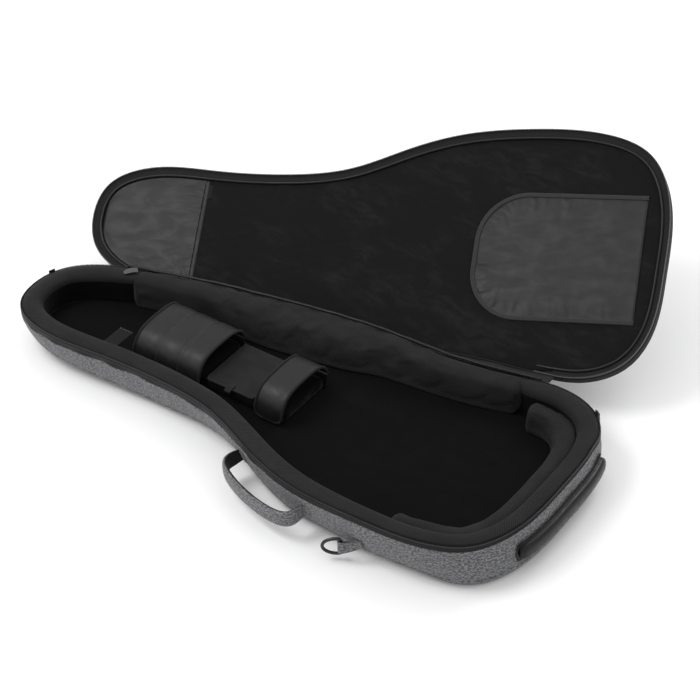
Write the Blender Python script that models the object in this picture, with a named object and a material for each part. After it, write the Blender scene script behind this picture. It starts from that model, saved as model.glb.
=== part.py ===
"""Padded electric guitar case, standing open: a deep base tray and a shallow hinged lid.

Frame: +X runs from the head end to the body end, +Y towards the hinge side, +Z up.
The origin is the centre of the flat underside.  Sizes below are in millimetres and
become metres when the meshes are made.  The lid is drawn where it sits when closed and
is swung open by the empty that stands on its hinge axis.
"""
import itertools
import math

import bmesh
import bpy
import numpy as np
from mathutils import Matrix, Vector

MM = 0.001
GAP = 0.3

# Plan outline, head tip to body tip along the near side and back along the far side.
HEAD_TIP = (-512, -45)
BODY_TIP = (519, 20)
NEAR_SIDE = [(-494, -106), (-440, -136), (-300, -138), (-150, -135), (-45, -150), (50, -188),
             (145, -218), (270, -231), (392, -224), (472, -189), (513, -110)]
FAR_SIDE = [(508, 122), (475, 180), (405, 211), (320, 203), (230, 185), (85, 168), (-65, 147),
            (-210, 118), (-350, 90), (-445, 56), (-496, 12)]
STATIONS_PER_SIDE = 34

# Base.
SHELL_TOP = 72
SHELL_WALL = 2.5
HEAD_RISE = 15
RISE_START_X = -150
RISE_END_X = -500
BOTTOM_INSET = 9
WAIST_INSET = 13
HEAD_END_INSET = 9
WAIST_X = -30
WAIST_WIDTH = 130
BODY_END_X = 400
BOARD_TOP = 5.5
FLOOR_TOP = 30.7
RIM_WIDTH = 36
FAR_RIM_WIDTH = 18
PAD_INNER = 36.5
PAD_TOP = 84
FAR_PAD_X = (-385, 330)
PAD_WEDGE_WIDTH = 20
BOLSTER_WIDTH = 38
BOLSTER_TOP = 71
BOLSTER_NEAR_X = 325
BOLSTER_FAR_X = 350
ZIP_PLANE = 80
ZIP_PROUD = 0.4
PIPING_RADIUS = 2.2
GUSSET_X = (-330, 360)
GUSSET_Z = (50, 71)

# Lid, in its closed place.
LID_LINER_Z = 90
LID_SIDE_TOP = 103
LID_TOP = 112
HINGE_POINT = (-27.0, 150.6, 62.8)
HINGE_YAW = math.radians(10.87)
HINGE_TILT = math.radians(1.04)
OPEN_ANGLE = math.radians(147.5)
LID_WALL = 2.5
LID_WALL_FOOT = 88.3
LID_PIPING_CENTRE = (14, 87.2)
LID_PIPING_RADIUS = 2.4
POCKET_INSET = 19
HEAD_POCKET_X = -313
POCKET_DEPTH = 3.4
BODY_POCKET_X = (190, 477)
BODY_POCKET_Y = (-116, 114)
BODY_POCKET_RADIUS = 88
BINDING = 8
TAG_WIDTH = 7
TAG_LENGTH = 26
TAG_THICKNESS = 1.2

# Neck rest, accessory box and straps.
REST_Y = (-66, 46)
REST_TOP = 56
WIDE_STRAP_X = (-277, -135)
NARROW_STRAP_X = (-22, 36)
BOX_X = (-129, -28)
BOX_WALL = 3
STRAP_THICKNESS = 3.5
STRAP_PATH = [(51, 58.6), (47, 70), (37, 79), (20, 83.8), (-8, 85), (-34, 83.4), (-52, 78),
              (-65, 66), (-71, 52), (-73, 36)]
STRAP_ROOT_PATH = [(48.4, 33), (48.4, 48), (49.6, 57)]

# Side handle and D-ring.
HANDLE_ENDS_X = (27, 187)
HANDLE_STAND_OFF = 5.5
HANDLE_REACH = 38
HANDLE_Z = 43
HANDLE_HEIGHT = 27
HANDLE_LAYER = 4.2
HANDLE_EDGE = 1.5
HANDLE_END_TAPER = 0.3
HANDLE_BULGE = 5
HANDLE_FULLNESS = 0.62
HANDLE_STEPS = 18
ANCHOR_LENGTH = 34
ANCHOR_CLEAR = 0.9
ANCHOR_PROUD = 2.5
D_RING_BAR = (272, -242)
D_RING_Z = 26
D_RING_HEIGHT = 30
D_RING_DEPTH = 28
D_RING_WIRE = 2.1
D_RING_STRAIGHT = 6
D_RING_REST = math.radians(32)
TAB_LENGTH = 34
TAB_SKIN = 1.8
TAB_END_MARGIN = 5
TAB_BACK = 14.8

# Bumper along the body end.
BUMPER_Y = (-116, 132)
BUMPER_Z = (27, 54)
BUMPER_PROUD = 12
BUMPER_FLAT = 7

# Zipper sliders: the block and its pull, as (along the zipper, out from it, height).
SLIDER_LOW = (-6, 0.8, 74.5)
SLIDER_HIGH = (6, 3.6, 83)
PULL_LOW = (-3.5, 4.4, 54)
PULL_HIGH = (3.5, 6.0, 77.5)
PULL_PIVOT = (0, 5.2, 77)
BODY_SLIDER_X = 462

HEATHER = (0.13, 0.13, 0.138)
TWILL = (0.028, 0.028, 0.03)
VELOUR = (0.014, 0.014, 0.016)
NYLON = (0.045, 0.045, 0.048)
WEBBING = (0.02, 0.02, 0.022)
RUBBER = (0.012, 0.012, 0.013)
STEEL_BLACK = (0.02, 0.02, 0.022)
FOAM = (0.07, 0.07, 0.075)
BOARD = (0.03, 0.03, 0.03)
LABEL = (0.05, 0.05, 0.05)


def clear_scene():
    for old in list(bpy.data.objects):
        bpy.data.objects.remove(old)


def material(name, colour, roughness, metallic=0.0):
    made = bpy.data.materials.new(name)
    made.use_nodes = True
    shader = made.node_tree.nodes["Principled BSDF"]
    shader.inputs["Base Color"].default_value = (*colour, 1.0)
    shader.inputs["Roughness"].default_value = roughness
    shader.inputs["Metallic"].default_value = metallic
    return made


def closed_spline(points, samples_per_span):
    """Smooth closed curve through the points, with the chord length as its parameter."""
    ring = np.array(points, float)
    count = len(ring)
    span = np.linalg.norm(np.roll(ring, -1, axis=0) - ring, axis=1)
    slope_matrix = np.zeros((count, count))
    right = np.zeros((count, 2))
    for i in range(count):
        before, after = span[i - 1], span[i]
        slope_matrix[i, i - 1] += after
        slope_matrix[i, i] += 2 * (before + after)
        slope_matrix[i, (i + 1) % count] += before
        rise_in = (ring[i] - ring[i - 1]) / before
        rise_out = (ring[(i + 1) % count] - ring[i]) / after
        right[i] = 3 * (after * rise_in + before * rise_out)
    slopes = np.linalg.solve(slope_matrix, right)
    curve = []
    for i in range(count):
        j = (i + 1) % count
        for step in range(samples_per_span):
            t = step / samples_per_span
            start = (1 + 2 * t) * (1 - t) ** 2 * ring[i] + t * (1 - t) ** 2 * span[i] * slopes[i]
            end = t * t * (3 - 2 * t) * ring[j] + t * t * (t - 1) * span[i] * slopes[j]
            curve.append(start + end)
    return np.array(curve)


def even_spacing(curve, count):
    """Points spaced evenly along an open curve, its end left out."""
    length = np.concatenate([[0], np.cumsum(np.linalg.norm(np.diff(curve, axis=0), axis=1))])
    wanted = np.linspace(0, length[-1], count, endpoint=False)
    return np.column_stack([np.interp(wanted, length, curve[:, axis]) for axis in (0, 1)])


def plan_outline():
    """The case's outline as an anticlockwise ring; station 0 is the head tip."""
    samples = 24
    curve = closed_spline([HEAD_TIP] + NEAR_SIDE + [BODY_TIP] + FAR_SIDE, samples)
    turn = samples * (len(NEAR_SIDE) + 1)
    near = even_spacing(curve[:turn + 1], STATIONS_PER_SIDE)
    far = even_spacing(np.vstack([curve[turn:], curve[:1]]), STATIONS_PER_SIDE)
    return np.vstack([near, far])


def outward(ring):
    tangent = np.roll(ring, -1, axis=0) - np.roll(ring, 1, axis=0)
    tangent /= np.linalg.norm(tangent, axis=1)[:, None]
    return np.column_stack([tangent[:, 1], -tangent[:, 0]])


def inset_ring(inset):
    """The outline moved inwards in short steps, so that tight corners do not fold over."""
    inset = np.broadcast_to(np.asarray(inset, float), (len(OUTLINE),))
    steps = max(1, math.ceil(np.abs(inset).max() / 6))
    ring = OUTLINE.copy()
    for _ in range(steps):
        ring = ring - outward(ring) * (inset / steps)[:, None]
        if steps > 2:
            middle = (np.roll(ring, 1, axis=0) + np.roll(ring, -1, axis=0)) / 2
            ring = ring + 0.12 * (middle - ring)
    return ring


def ring_vertices(inset, height):
    ring = inset_ring(inset)
    height = np.broadcast_to(np.asarray(height, float), (len(ring),))
    return np.column_stack([ring, height])


def smooth_step(value, start, end):
    t = np.clip((value - start) / (end - start), 0, 1)
    return t * t * (3 - 2 * t)


OUTLINE = plan_outline()
COUNT = len(OUTLINE)
NEARNESS = np.clip(-outward(OUTLINE)[:, 1], 0, 1)
RISE = HEAD_RISE * smooth_step(OUTLINE[:, 0], RISE_START_X, RISE_END_X)
WAIST = np.exp(-((OUTLINE[:, 0] - WAIST_X) / WAIST_WIDTH) ** 2)
TOWARDS_BODY_END = smooth_step(OUTLINE[:, 0], BODY_END_X, BODY_TIP[0])
TUCK = 2 + (BOTTOM_INSET * (1 - TOWARDS_BODY_END) + WAIST_INSET * WAIST) * NEARNESS
TUCK = TUCK + HEAD_END_INSET * np.clip(-outward(OUTLINE)[:, 0], 0, 1) * smooth_step(OUTLINE[:, 0], -400, -500)
PAD_WEDGE = 1 - 0.75 * smooth_step(OUTLINE[:, 0], 0, 100) - 0.25 * smooth_step(OUTLINE[:, 0], 240, 325)
PAD_WEDGE = PAD_WEDGE_WIDTH * smooth_step(OUTLINE[:, 0], -250, -90) * PAD_WEDGE
FARNESS = smooth_step(OUTLINE[:, 1] - 0.09 * OUTLINE[:, 0], 60, 110)
ALONG_FAR_PAD = smooth_step(OUTLINE[:, 0], FAR_PAD_X[0] - 25, FAR_PAD_X[0] + 45)
ALONG_FAR_PAD = ALONG_FAR_PAD * (1 - smooth_step(OUTLINE[:, 0], FAR_PAD_X[1] - 45, FAR_PAD_X[1] + 25))
RIM_INNER = RIM_WIDTH - (RIM_WIDTH - FAR_RIM_WIDTH) * FARNESS * ALONG_FAR_PAD


def finish_mesh(name, vertices, faces, look, parent=None, origin=(0, 0, 0), smooth=True):
    """Make an object from millimetre vertices, with its origin at the given point."""
    shape = bmesh.new()
    made = [shape.verts.new(Vector(v) * MM - Vector(origin) * MM) for v in vertices]
    for face in faces:
        shape.faces.new([made[i] for i in face])
    bmesh.ops.recalc_face_normals(shape, faces=shape.faces)
    mesh = bpy.data.meshes.new(name)
    shape.to_mesh(mesh)
    shape.free()
    if smooth:
        mesh.shade_smooth()
        mesh.set_sharp_from_angle(angle=math.radians(40))
    mesh.materials.append(look)
    made_object = bpy.data.objects.new(name, mesh)
    bpy.context.scene.collection.objects.link(made_object)
    if parent is None:
        made_object.location = Vector(origin) * MM
    else:
        made_object.parent = parent
    return made_object


def ladder(start):
    """Rungs from the near side to the far side, closing one ring of the outline."""
    faces = [(start, start + 1, start + COUNT - 1)]
    for i in range(1, COUNT // 2 - 1):
        faces.append((start + i, start + i + 1, start + COUNT - i - 1, start + COUNT - i))
    middle = COUNT // 2
    faces.append((start + middle - 1, start + middle, start + middle + 1))
    return faces


def ring_object(name, profile, look, parent=None, origin=(0, 0, 0)):
    """A closed band around the whole outline; profile is a closed section of (inset, height)."""
    vertices = np.vstack([ring_vertices(inset, height) for inset, height in profile])
    faces = []
    for p in range(len(profile)):
        q = (p + 1) % len(profile)
        for i in range(COUNT):
            j = (i + 1) % COUNT
            faces.append((p * COUNT + i, p * COUNT + j, q * COUNT + j, q * COUNT + i))
    return finish_mesh(name, vertices, faces, look, parent, origin)


def panel_object(name, profile, look, parent=None, origin=(0, 0, 0)):
    """A slab or tray; the first and last rings of its open section are closed across."""
    vertices = np.vstack([ring_vertices(inset, height) for inset, height in profile])
    faces = []
    for p in range(len(profile) - 1):
        for i in range(COUNT):
            j = (i + 1) % COUNT
            faces.append((p * COUNT + i, p * COUNT + j, (p + 1) * COUNT + j, (p + 1) * COUNT + i))
    faces += ladder(0)
    faces += ladder((len(profile) - 1) * COUNT)
    return finish_mesh(name, vertices, faces, look, parent, origin)


def stations_between(start, end):
    return [i % COUNT for i in range(start, end + 1)]


def nearest_station(x, far):
    half = range(COUNT // 2, COUNT) if far else range(0, COUNT // 2)
    return min(half, key=lambda i: abs(OUTLINE[i, 0] - x))


def near_side_at(x):
    """Point on the near side of the outline at this x, and the outward direction there."""
    near = slice(0, COUNT // 2)
    point = np.array([x, np.interp(x, OUTLINE[near, 0], OUTLINE[near, 1])])
    out = [np.interp(x, OUTLINE[near, 0], column) for column in outward(OUTLINE)[near].T]
    return point, np.array(out) / np.linalg.norm(out)


def swept_faces(sections, points):
    faces = [tuple(range(points))]
    for s in range(sections - 1):
        for p in range(points):
            q = (p + 1) % points
            faces.append((s * points + p, s * points + q, (s + 1) * points + q, (s + 1) * points + p))
    faces.append(tuple((sections - 1) * points + p for p in range(points)))
    return faces


def strip_object(name, stations, profile, look, end_scale=1.0, parent=None, origin=(0, 0, 0)):
    """A band along part of the outline, its two end sections shrunk about their middle."""
    rings = [ring_vertices(inset, height) for inset, height in profile]
    vertices = []
    for order, i in enumerate(stations):
        section = np.array([ring[i] for ring in rings])
        if order in (0, len(stations) - 1):
            middle = section.mean(axis=0)
            section = middle + (section - middle) * end_scale
        vertices.extend(section)
    faces = swept_faces(len(stations), len(profile))
    return finish_mesh(name, vertices, faces, look, parent, origin)


BOX_FACES = [(0, 1, 3, 2), (4, 6, 7, 5), (0, 4, 5, 1), (2, 3, 7, 6), (0, 2, 6, 4), (1, 5, 7, 3)]


def box_object(name, low, high, look, bevel=0.0, parent=None, origin=(0, 0, 0)):
    corners = list(itertools.product(*zip(low, high)))
    made = finish_mesh(name, corners, BOX_FACES, look, parent, origin, smooth=False)
    if bevel:
        rounding = made.modifiers.new("Bevel", "BEVEL")
        rounding.width = bevel * MM
        rounding.segments = 2
        rounding.limit_method = "NONE"
    return made


def prism_object(name, outline, low, high, look, parent=None, origin=(0, 0, 0)):
    """A flat plate of any plan outline between two heights."""
    count = len(outline)
    vertices = [(x, y, low) for x, y in outline] + [(x, y, high) for x, y in outline]
    faces = [tuple(range(count)), tuple(range(count, 2 * count))]
    for i in range(count):
        j = (i + 1) % count
        faces.append((i, j, count + j, count + i))
    return finish_mesh(name, vertices, faces, look, parent, origin, smooth=False)


def empty(name, location, rotation):
    made = bpy.data.objects.new(name, None)
    bpy.context.scene.collection.objects.link(made)
    made.location = Vector(location) * MM
    made.rotation_euler = rotation.to_euler()
    return made


# ---------------------------------------------------------------- base

def base_shell(look):
    """Fabric-covered tray: flat underside, tucked-in lower edge, open top."""
    tray = [
        (TUCK + 14, RISE),
        (TUCK + 4, RISE + 7),
        (0.6 * TUCK + 1, 0.8 * RISE + 22),
        (0.25 * TUCK, 0.3 * RISE + 48),
        (0, SHELL_TOP),
        (SHELL_WALL, SHELL_TOP),
        (0.25 * TUCK + SHELL_WALL, 0.3 * RISE + 48),
        (0.6 * TUCK + 1 + SHELL_WALL, 0.8 * RISE + 23),
        (TUCK + 4 + SHELL_WALL, RISE + 9),
        (TUCK + 15, RISE + SHELL_WALL),
    ]
    panel_object("base_shell", tray, look)


def base_piping(look):
    """Cord sewn round the tray just above its tucked-in lower edge."""
    centre_in = 0.78 * TUCK - 0.6
    centre_up = 0.9 * RISE + 14
    sides = 6
    section = []
    for step in range(sides):
        angle = math.tau * step / sides
        inset = centre_in + PIPING_RADIUS * math.cos(angle)
        section.append((inset, centre_up + PIPING_RADIUS * math.sin(angle)))
    ring_object("base_bottom_piping", section, look)


def base_stiffener(look):
    slab = [(TUCK + 17, RISE + SHELL_WALL + GAP), (TUCK + 16, RISE + BOARD_TOP - GAP)]
    panel_object("base_stiffener_board", slab, look)


def base_floor(look):
    slab = [
        (TUCK + 16, RISE + BOARD_TOP),
        (TUCK + 8, RISE + 11),
        (TUCK + 6, 0.35 * RISE + 24.5),
        (TUCK + 6, FLOOR_TOP),
    ]
    panel_object("base_floor_pad", slab, look)


def base_rim(look):
    """Thick padded wall: it stands on the floor pad and rolls over the top of the shell."""
    section = [
        (TUCK + 6, FLOOR_TOP + GAP),
        (0.25 * TUCK + SHELL_WALL + 1, 0.3 * RISE + 49),
        (SHELL_WALL + 0.5, SHELL_TOP - 2),
        (SHELL_WALL + 0.5, 77.5),
        (7, 80.5),
        (0.35 * RIM_INNER + 2, 82.8),
        (0.6 * RIM_INNER, PAD_TOP + 0.6),
        (0.85 * RIM_INNER, PAD_TOP - 1),
        (RIM_INNER - 0.8, 77),
        (RIM_INNER, 66),
        (RIM_INNER, FLOOR_TOP + GAP),
    ]
    ring_object("base_rim_padding", section, look)


def far_side_pad(look):
    outer = RIM_INNER + 0.5
    section = [
        (outer, FLOOR_TOP + GAP),
        (outer, 70),
        (outer, 79),
        (0.5 * (outer + PAD_INNER), 83),
        (PAD_INNER + 2 + 0.2 * PAD_WEDGE, 77),
        (PAD_INNER + 5 + 0.6 * PAD_WEDGE, 60),
        (PAD_INNER + 6 + PAD_WEDGE, FLOOR_TOP + GAP),
    ]
    stations = stations_between(nearest_station(FAR_PAD_X[1], True), nearest_station(FAR_PAD_X[0], True))
    strip_object("far_side_pad", stations, section, look, end_scale=0.72)


def end_bolster(look):
    inner = RIM_WIDTH + 0.5
    section = [
        (inner + 0.4, FLOOR_TOP + GAP),
        (inner + 0.4, 58),
        (inner + 5, 67),
        (inner + 16, BOLSTER_TOP),
        (inner + 28, 67),
        (inner + BOLSTER_WIDTH - 1, 54),
        (inner + BOLSTER_WIDTH, FLOOR_TOP + GAP),
    ]
    stations = stations_between(nearest_station(BOLSTER_NEAR_X, False), nearest_station(BOLSTER_FAR_X, True))
    strip_object("end_bolster", stations, section, look, end_scale=0.7)


def base_zipper(tape_look, coil_look):
    tape_top = ZIP_PLANE - 2.6
    coil_low = tape_top + GAP
    coil_top = ZIP_PLANE - 0.2
    tape = [(-ZIP_PROUD, SHELL_TOP + GAP), (-ZIP_PROUD, tape_top), (2.4, tape_top), (2.4, SHELL_TOP + GAP)]
    coil = [(-ZIP_PROUD, coil_low), (-ZIP_PROUD, coil_top), (1.6, coil_top), (1.6, coil_low)]
    ring_object("base_zipper_tape", tape, tape_look)
    ring_object("base_zipper_coil", coil, coil_look)


def end_bumper(look):
    low, high = BUMPER_Z
    middle = (low + high) / 2
    section = [
        (-ZIP_PROUD, low),
        (-0.6 * BUMPER_PROUD, low + 1),
        (-BUMPER_PROUD, middle - BUMPER_FLAT),
        (-BUMPER_PROUD, middle + BUMPER_FLAT),
        (-0.6 * BUMPER_PROUD, high - 1),
        (-ZIP_PROUD, high),
    ]
    stations = [
        i for i in range(COUNT)
        if OUTLINE[i, 0] > BODY_END_X and BUMPER_Y[0] < OUTLINE[i, 1] < BUMPER_Y[1]
    ]
    strip_object("end_bumper", stations, section, look, end_scale=0.72)


def head_loop(look):
    box_object("head_end_loop", (-398, 34, PAD_TOP + 1), (-386, 53, PAD_TOP + 2.2), look)


def care_label(look):
    box_object("care_label", (-352, -66, FLOOR_TOP + GAP), (-322, -18, FLOOR_TOP + GAP + 0.8), look)


# ---------------------------------------------------------------- neck rest

def neck_rests(look):
    for name, span in (("neck_rest_head", WIDE_STRAP_X), ("neck_rest_body", NARROW_STRAP_X)):
        low = (span[0] + 4, REST_Y[0], FLOOR_TOP + GAP)
        high = (span[1] - 2, REST_Y[1], REST_TOP)
        box_object(name, low, high, look, bevel=5)


def accessory_box(look, flap_look):
    """Open-topped pocket between the neck rests, closed by a flap hinged on its far edge."""
    floor = FLOOR_TOP + GAP
    near, far = REST_Y[0] + 2, REST_Y[1] - 2
    outer = [(BOX_X[0], near), (BOX_X[1], near), (BOX_X[1], far), (BOX_X[0], far)]
    inner = [
        (BOX_X[0] + BOX_WALL, near + BOX_WALL),
        (BOX_X[1] - BOX_WALL, near + BOX_WALL),
        (BOX_X[1] - BOX_WALL, far - BOX_WALL),
        (BOX_X[0] + BOX_WALL, far - BOX_WALL),
    ]
    top = REST_TOP - 4
    levels = [(outer, floor), (outer, top), (inner, top), (inner, floor + BOX_WALL)]
    vertices = [(x, y, z) for loop, z in levels for x, y in loop]
    faces = [(0, 1, 2, 3), (12, 13, 14, 15)]
    for level in range(3):
        for i in range(4):
            j = (i + 1) % 4
            faces.append((level * 4 + i, level * 4 + j, level * 4 + 4 + j, level * 4 + 4 + i))
    finish_mesh("accessory_box", vertices, faces, look, smooth=False)
    hinge = (sum(BOX_X) / 2, far, top + GAP)
    low = (BOX_X[0] + 1, near - 2, top + GAP)
    high = (BOX_X[1] - 1, far, top + 3)
    box_object("accessory_flap", low, high, flap_look, origin=hinge)


def strap(name, span, look):
    """A padded strap arched over the neck space; its root is sewn to the far side of the rest."""
    for path, node in ((STRAP_PATH, name), (STRAP_ROOT_PATH, name + "_root")):
        line = np.array(path, float)
        side = np.gradient(line, axis=0)
        side /= np.linalg.norm(side, axis=1)[:, None]
        normal = np.column_stack([side[:, 1], -side[:, 0]])
        vertices = []
        for point, across in zip(line, normal):
            other = point + across * STRAP_THICKNESS
            vertices += [(span[0], *point), (span[1], *point), (span[1], *other), (span[0], *other)]
        origin = (sum(span) / 2, *STRAP_PATH[0]) if node == name else (0, 0, 0)
        finish_mesh(node, vertices, swept_faces(len(line), 4), look, origin=origin)


def strap_landing(name, span, look):
    """Hook-and-loop patch on the near side of the rest, where the strap presses down."""
    low = (span[0] + 10, REST_Y[0] - 2.2, FLOOR_TOP + 4)
    high = (span[1] - 10, REST_Y[0] - GAP, REST_TOP - 6)
    box_object(name, low, high, look)


# ---------------------------------------------------------------- handle and D-ring

def handle(outer_look, lining_look, anchor_look):
    places = [near_side_at(x) for x in HANDLE_ENDS_X]
    start, end = [point + out * HANDLE_STAND_OFF for point, out in places]
    along = (end - start) / np.linalg.norm(end - start)
    away = np.array([along[1], -along[0]])
    span = np.linalg.norm(end - start)
    path = []
    for step in range(HANDLE_STEPS + 1):
        angle = math.pi * step / HANDLE_STEPS
        reach = HANDLE_REACH * math.sin(angle) ** HANDLE_FULLNESS
        slide = span / 2 * (1 - math.cos(angle))
        bulge = HANDLE_BULGE * math.sin(2 * angle)
        path.append(start + along * (slide - bulge) + away * reach)
    line = np.array(path)
    side = np.gradient(line, axis=0)
    side /= np.linalg.norm(side, axis=1)[:, None]
    normal = np.column_stack([side[:, 1], -side[:, 0]])
    pivot = (*((start + end) / 2), HANDLE_Z)
    half = np.full(len(line), HANDLE_HEIGHT / 2)
    half[[0, -1]] *= HANDLE_END_TAPER
    layers = (("side_handle_outer", GAP / 2, HANDLE_LAYER, outer_look),
              ("side_handle_lining", -HANDLE_LAYER, -GAP / 2, lining_look))
    for name, inner, outer, look in layers:
        vertices = []
        for point, across, tall in zip(line, normal, half):
            a = point + across * inner
            b = point + across * outer
            edge = tall - HANDLE_EDGE
            vertices += [(*a, HANDLE_Z - tall), (*b, HANDLE_Z - edge)]
            vertices += [(*b, HANDLE_Z + edge), (*a, HANDLE_Z + tall)]
        finish_mesh(name, vertices, swept_faces(len(line), 4), look, origin=pivot)
    low = HANDLE_Z - HANDLE_HEIGHT / 2 + 2
    high = HANDLE_Z + HANDLE_HEIGHT / 2 - 2
    for name, (point, out) in zip(("handle_anchor_head", "handle_anchor_body"), places):
        reach = np.array([-out[1], out[0]]) * ANCHOR_LENGTH / 2
        back = point + out * ANCHOR_CLEAR
        front = point + out * ANCHOR_PROUD
        plan = [back - reach, back + reach, front + reach, front - reach]
        prism_object(name, plan, low, high, anchor_look)


def d_ring(ring_look, tab_look):
    """Wire D with its straight bar upright in the end of a sewn tab; it swings on the bar."""
    bar_x, bar_y = D_RING_BAR
    half = D_RING_HEIGHT / 2
    path = [(bar_x, D_RING_Z - half), (bar_x, D_RING_Z + half)]
    steps = 9
    for step in range(steps + 1):
        angle = math.pi / 2 + math.pi * step / steps
        across = (D_RING_DEPTH - D_RING_STRAIGHT) * math.cos(angle) - D_RING_STRAIGHT
        path.append((bar_x + across, D_RING_Z + half * math.sin(angle)))
    path = np.array(path)
    count = len(path)
    sides = 6
    vertices = []
    for i in range(count):
        tangent = path[(i + 1) % count] - path[i - 1]
        tangent /= np.linalg.norm(tangent)
        out = np.array([tangent[1], -tangent[0]])
        for step in range(sides):
            angle = math.tau * step / sides
            radial = D_RING_WIRE * math.cos(angle)
            x, z = path[i] + out * radial
            reach, side = x - bar_x, D_RING_WIRE * math.sin(angle)
            vertices.append((bar_x + reach * math.cos(D_RING_REST) - side * math.sin(D_RING_REST),
                             bar_y + reach * math.sin(D_RING_REST) + side * math.cos(D_RING_REST), z))
    faces = []
    for i in range(count):
        j = (i + 1) % count
        for a in range(sides):
            b = (a + 1) % sides
            faces.append((i * sides + a, i * sides + b, j * sides + b, j * sides + a))
    finish_mesh("d_ring", vertices, faces, ring_look, origin=(bar_x, bar_y, D_RING_Z))

    inner = D_RING_WIRE + GAP
    outer = inner + TAB_SKIN
    back = bar_x + TAB_LENGTH
    fold = [(back, bar_y + TAB_BACK), (back, bar_y + TAB_BACK - 2.2), (bar_x + 2, bar_y - outer),
            (bar_x - 2, bar_y - outer), (bar_x - outer, bar_y - 2), (bar_x - outer, bar_y + 2),
            (bar_x - 2, bar_y + outer), (bar_x + 4, bar_y + outer)]
    hole = [(bar_x + inner, bar_y - 1), (bar_x + 1, bar_y - inner), (bar_x - 1, bar_y - inner),
            (bar_x - inner, bar_y - 1), (bar_x - inner, bar_y + 1), (bar_x - 1, bar_y + inner),
            (bar_x + 1, bar_y + inner), (bar_x + inner, bar_y + 1)]
    low = D_RING_Z - half + TAB_END_MARGIN
    high = D_RING_Z + half - TAB_END_MARGIN
    tab = prism_object("d_ring_tab", fold, low, high, tab_look)
    cutter = prism_object("d_ring_tab_cutter", hole, low - 2, high + 2, tab_look)
    cutter.hide_render = True
    cutter.display_type = "WIRE"
    cut = tab.modifiers.new("Bar hole", "BOOLEAN")
    cut.operation = "DIFFERENCE"
    cut.object = cutter


def zipper_slider(name, station, look):
    """Slider with its pull hanging from it, parked on the open zipper's outer face."""
    middle = OUTLINE[station]
    out = outward(OUTLINE)[station]
    along = np.array([-out[1], out[0]])

    def placed(corner):
        return (*(middle + along * corner[0] + out * corner[1]), corner[2])

    def block(node, low, high, origin):
        corners = [placed(corner) for corner in itertools.product(*zip(low, high))]
        finish_mesh(node, corners, BOX_FACES, look, origin=origin, smooth=False)

    block(name, SLIDER_LOW, SLIDER_HIGH, (*middle, ZIP_PLANE))
    block(name + "_pull", PULL_LOW, PULL_HIGH, placed(PULL_PIVOT))


# ---------------------------------------------------------------- lid

def lid_pivot():
    axis = Vector((
        math.cos(HINGE_YAW) * math.cos(HINGE_TILT),
        math.sin(HINGE_YAW) * math.cos(HINGE_TILT),
        math.sin(HINGE_TILT),
    ))
    return empty("lid_hinge_axis", HINGE_POINT, Matrix.Rotation(-OPEN_ANGLE, 3, axis))


def lid_shell(pivot, side_look, panel_look):
    side = [(0, LID_WALL_FOOT), (0, LID_SIDE_TOP), (LID_WALL, LID_SIDE_TOP), (LID_WALL, LID_WALL_FOOT)]
    ring_object("lid_gusset", side, side_look, pivot, HINGE_POINT)
    skin = [
        (18, LID_TOP - 2.4),
        (9, LID_TOP - 4.4),
        (4, LID_SIDE_TOP + 2.2),
        (3.4, LID_SIDE_TOP + GAP),
        (0, LID_SIDE_TOP + GAP),
        (0.8, LID_SIDE_TOP + 3),
        (6, LID_TOP - 2.2),
        (17, LID_TOP),
    ]
    panel_object("lid_outer_panel", skin, panel_look, pivot, HINGE_POINT)


def lid_core(pivot, foam_look, liner_look):
    foam = [
        (2.9, LID_LINER_Z + 2.6),
        (3.2, LID_SIDE_TOP),
        (5.5, LID_SIDE_TOP + 2),
        (10, LID_TOP - 5.2),
        (19, LID_TOP - 2.9),
    ]
    panel_object("lid_foam_core", foam, foam_look, pivot, HINGE_POINT)
    liner = [(3, LID_LINER_Z), (3, LID_LINER_Z + 2.2)]
    panel_object("lid_liner", liner, liner_look, pivot, HINGE_POINT)


def lid_edge(pivot, piping_look, tape_look, coil_look):
    sides = 8
    middle_in, middle_up = LID_PIPING_CENTRE
    section = []
    for step in range(sides):
        angle = math.tau * step / sides
        inset = middle_in + LID_PIPING_RADIUS * math.cos(angle)
        section.append((inset, middle_up + LID_PIPING_RADIUS * math.sin(angle)))
    ring_object("lid_piping", section, piping_look, pivot, HINGE_POINT)
    tape_top = LID_WALL_FOOT - GAP
    tape_low = ZIP_PLANE + 2.7
    coil_top = tape_low - GAP
    coil_low = ZIP_PLANE + 0.2
    tape = [(-ZIP_PROUD, tape_low), (-ZIP_PROUD, tape_top), (2.4, tape_top), (2.4, tape_low)]
    coil = [(-ZIP_PROUD, coil_low), (-ZIP_PROUD, coil_top), (1.6, coil_top), (1.6, coil_low)]
    ring_object("lid_zipper_tape", tape, tape_look, pivot, HINGE_POINT)
    ring_object("lid_zipper_coil", coil, coil_look, pivot, HINGE_POINT)


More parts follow.
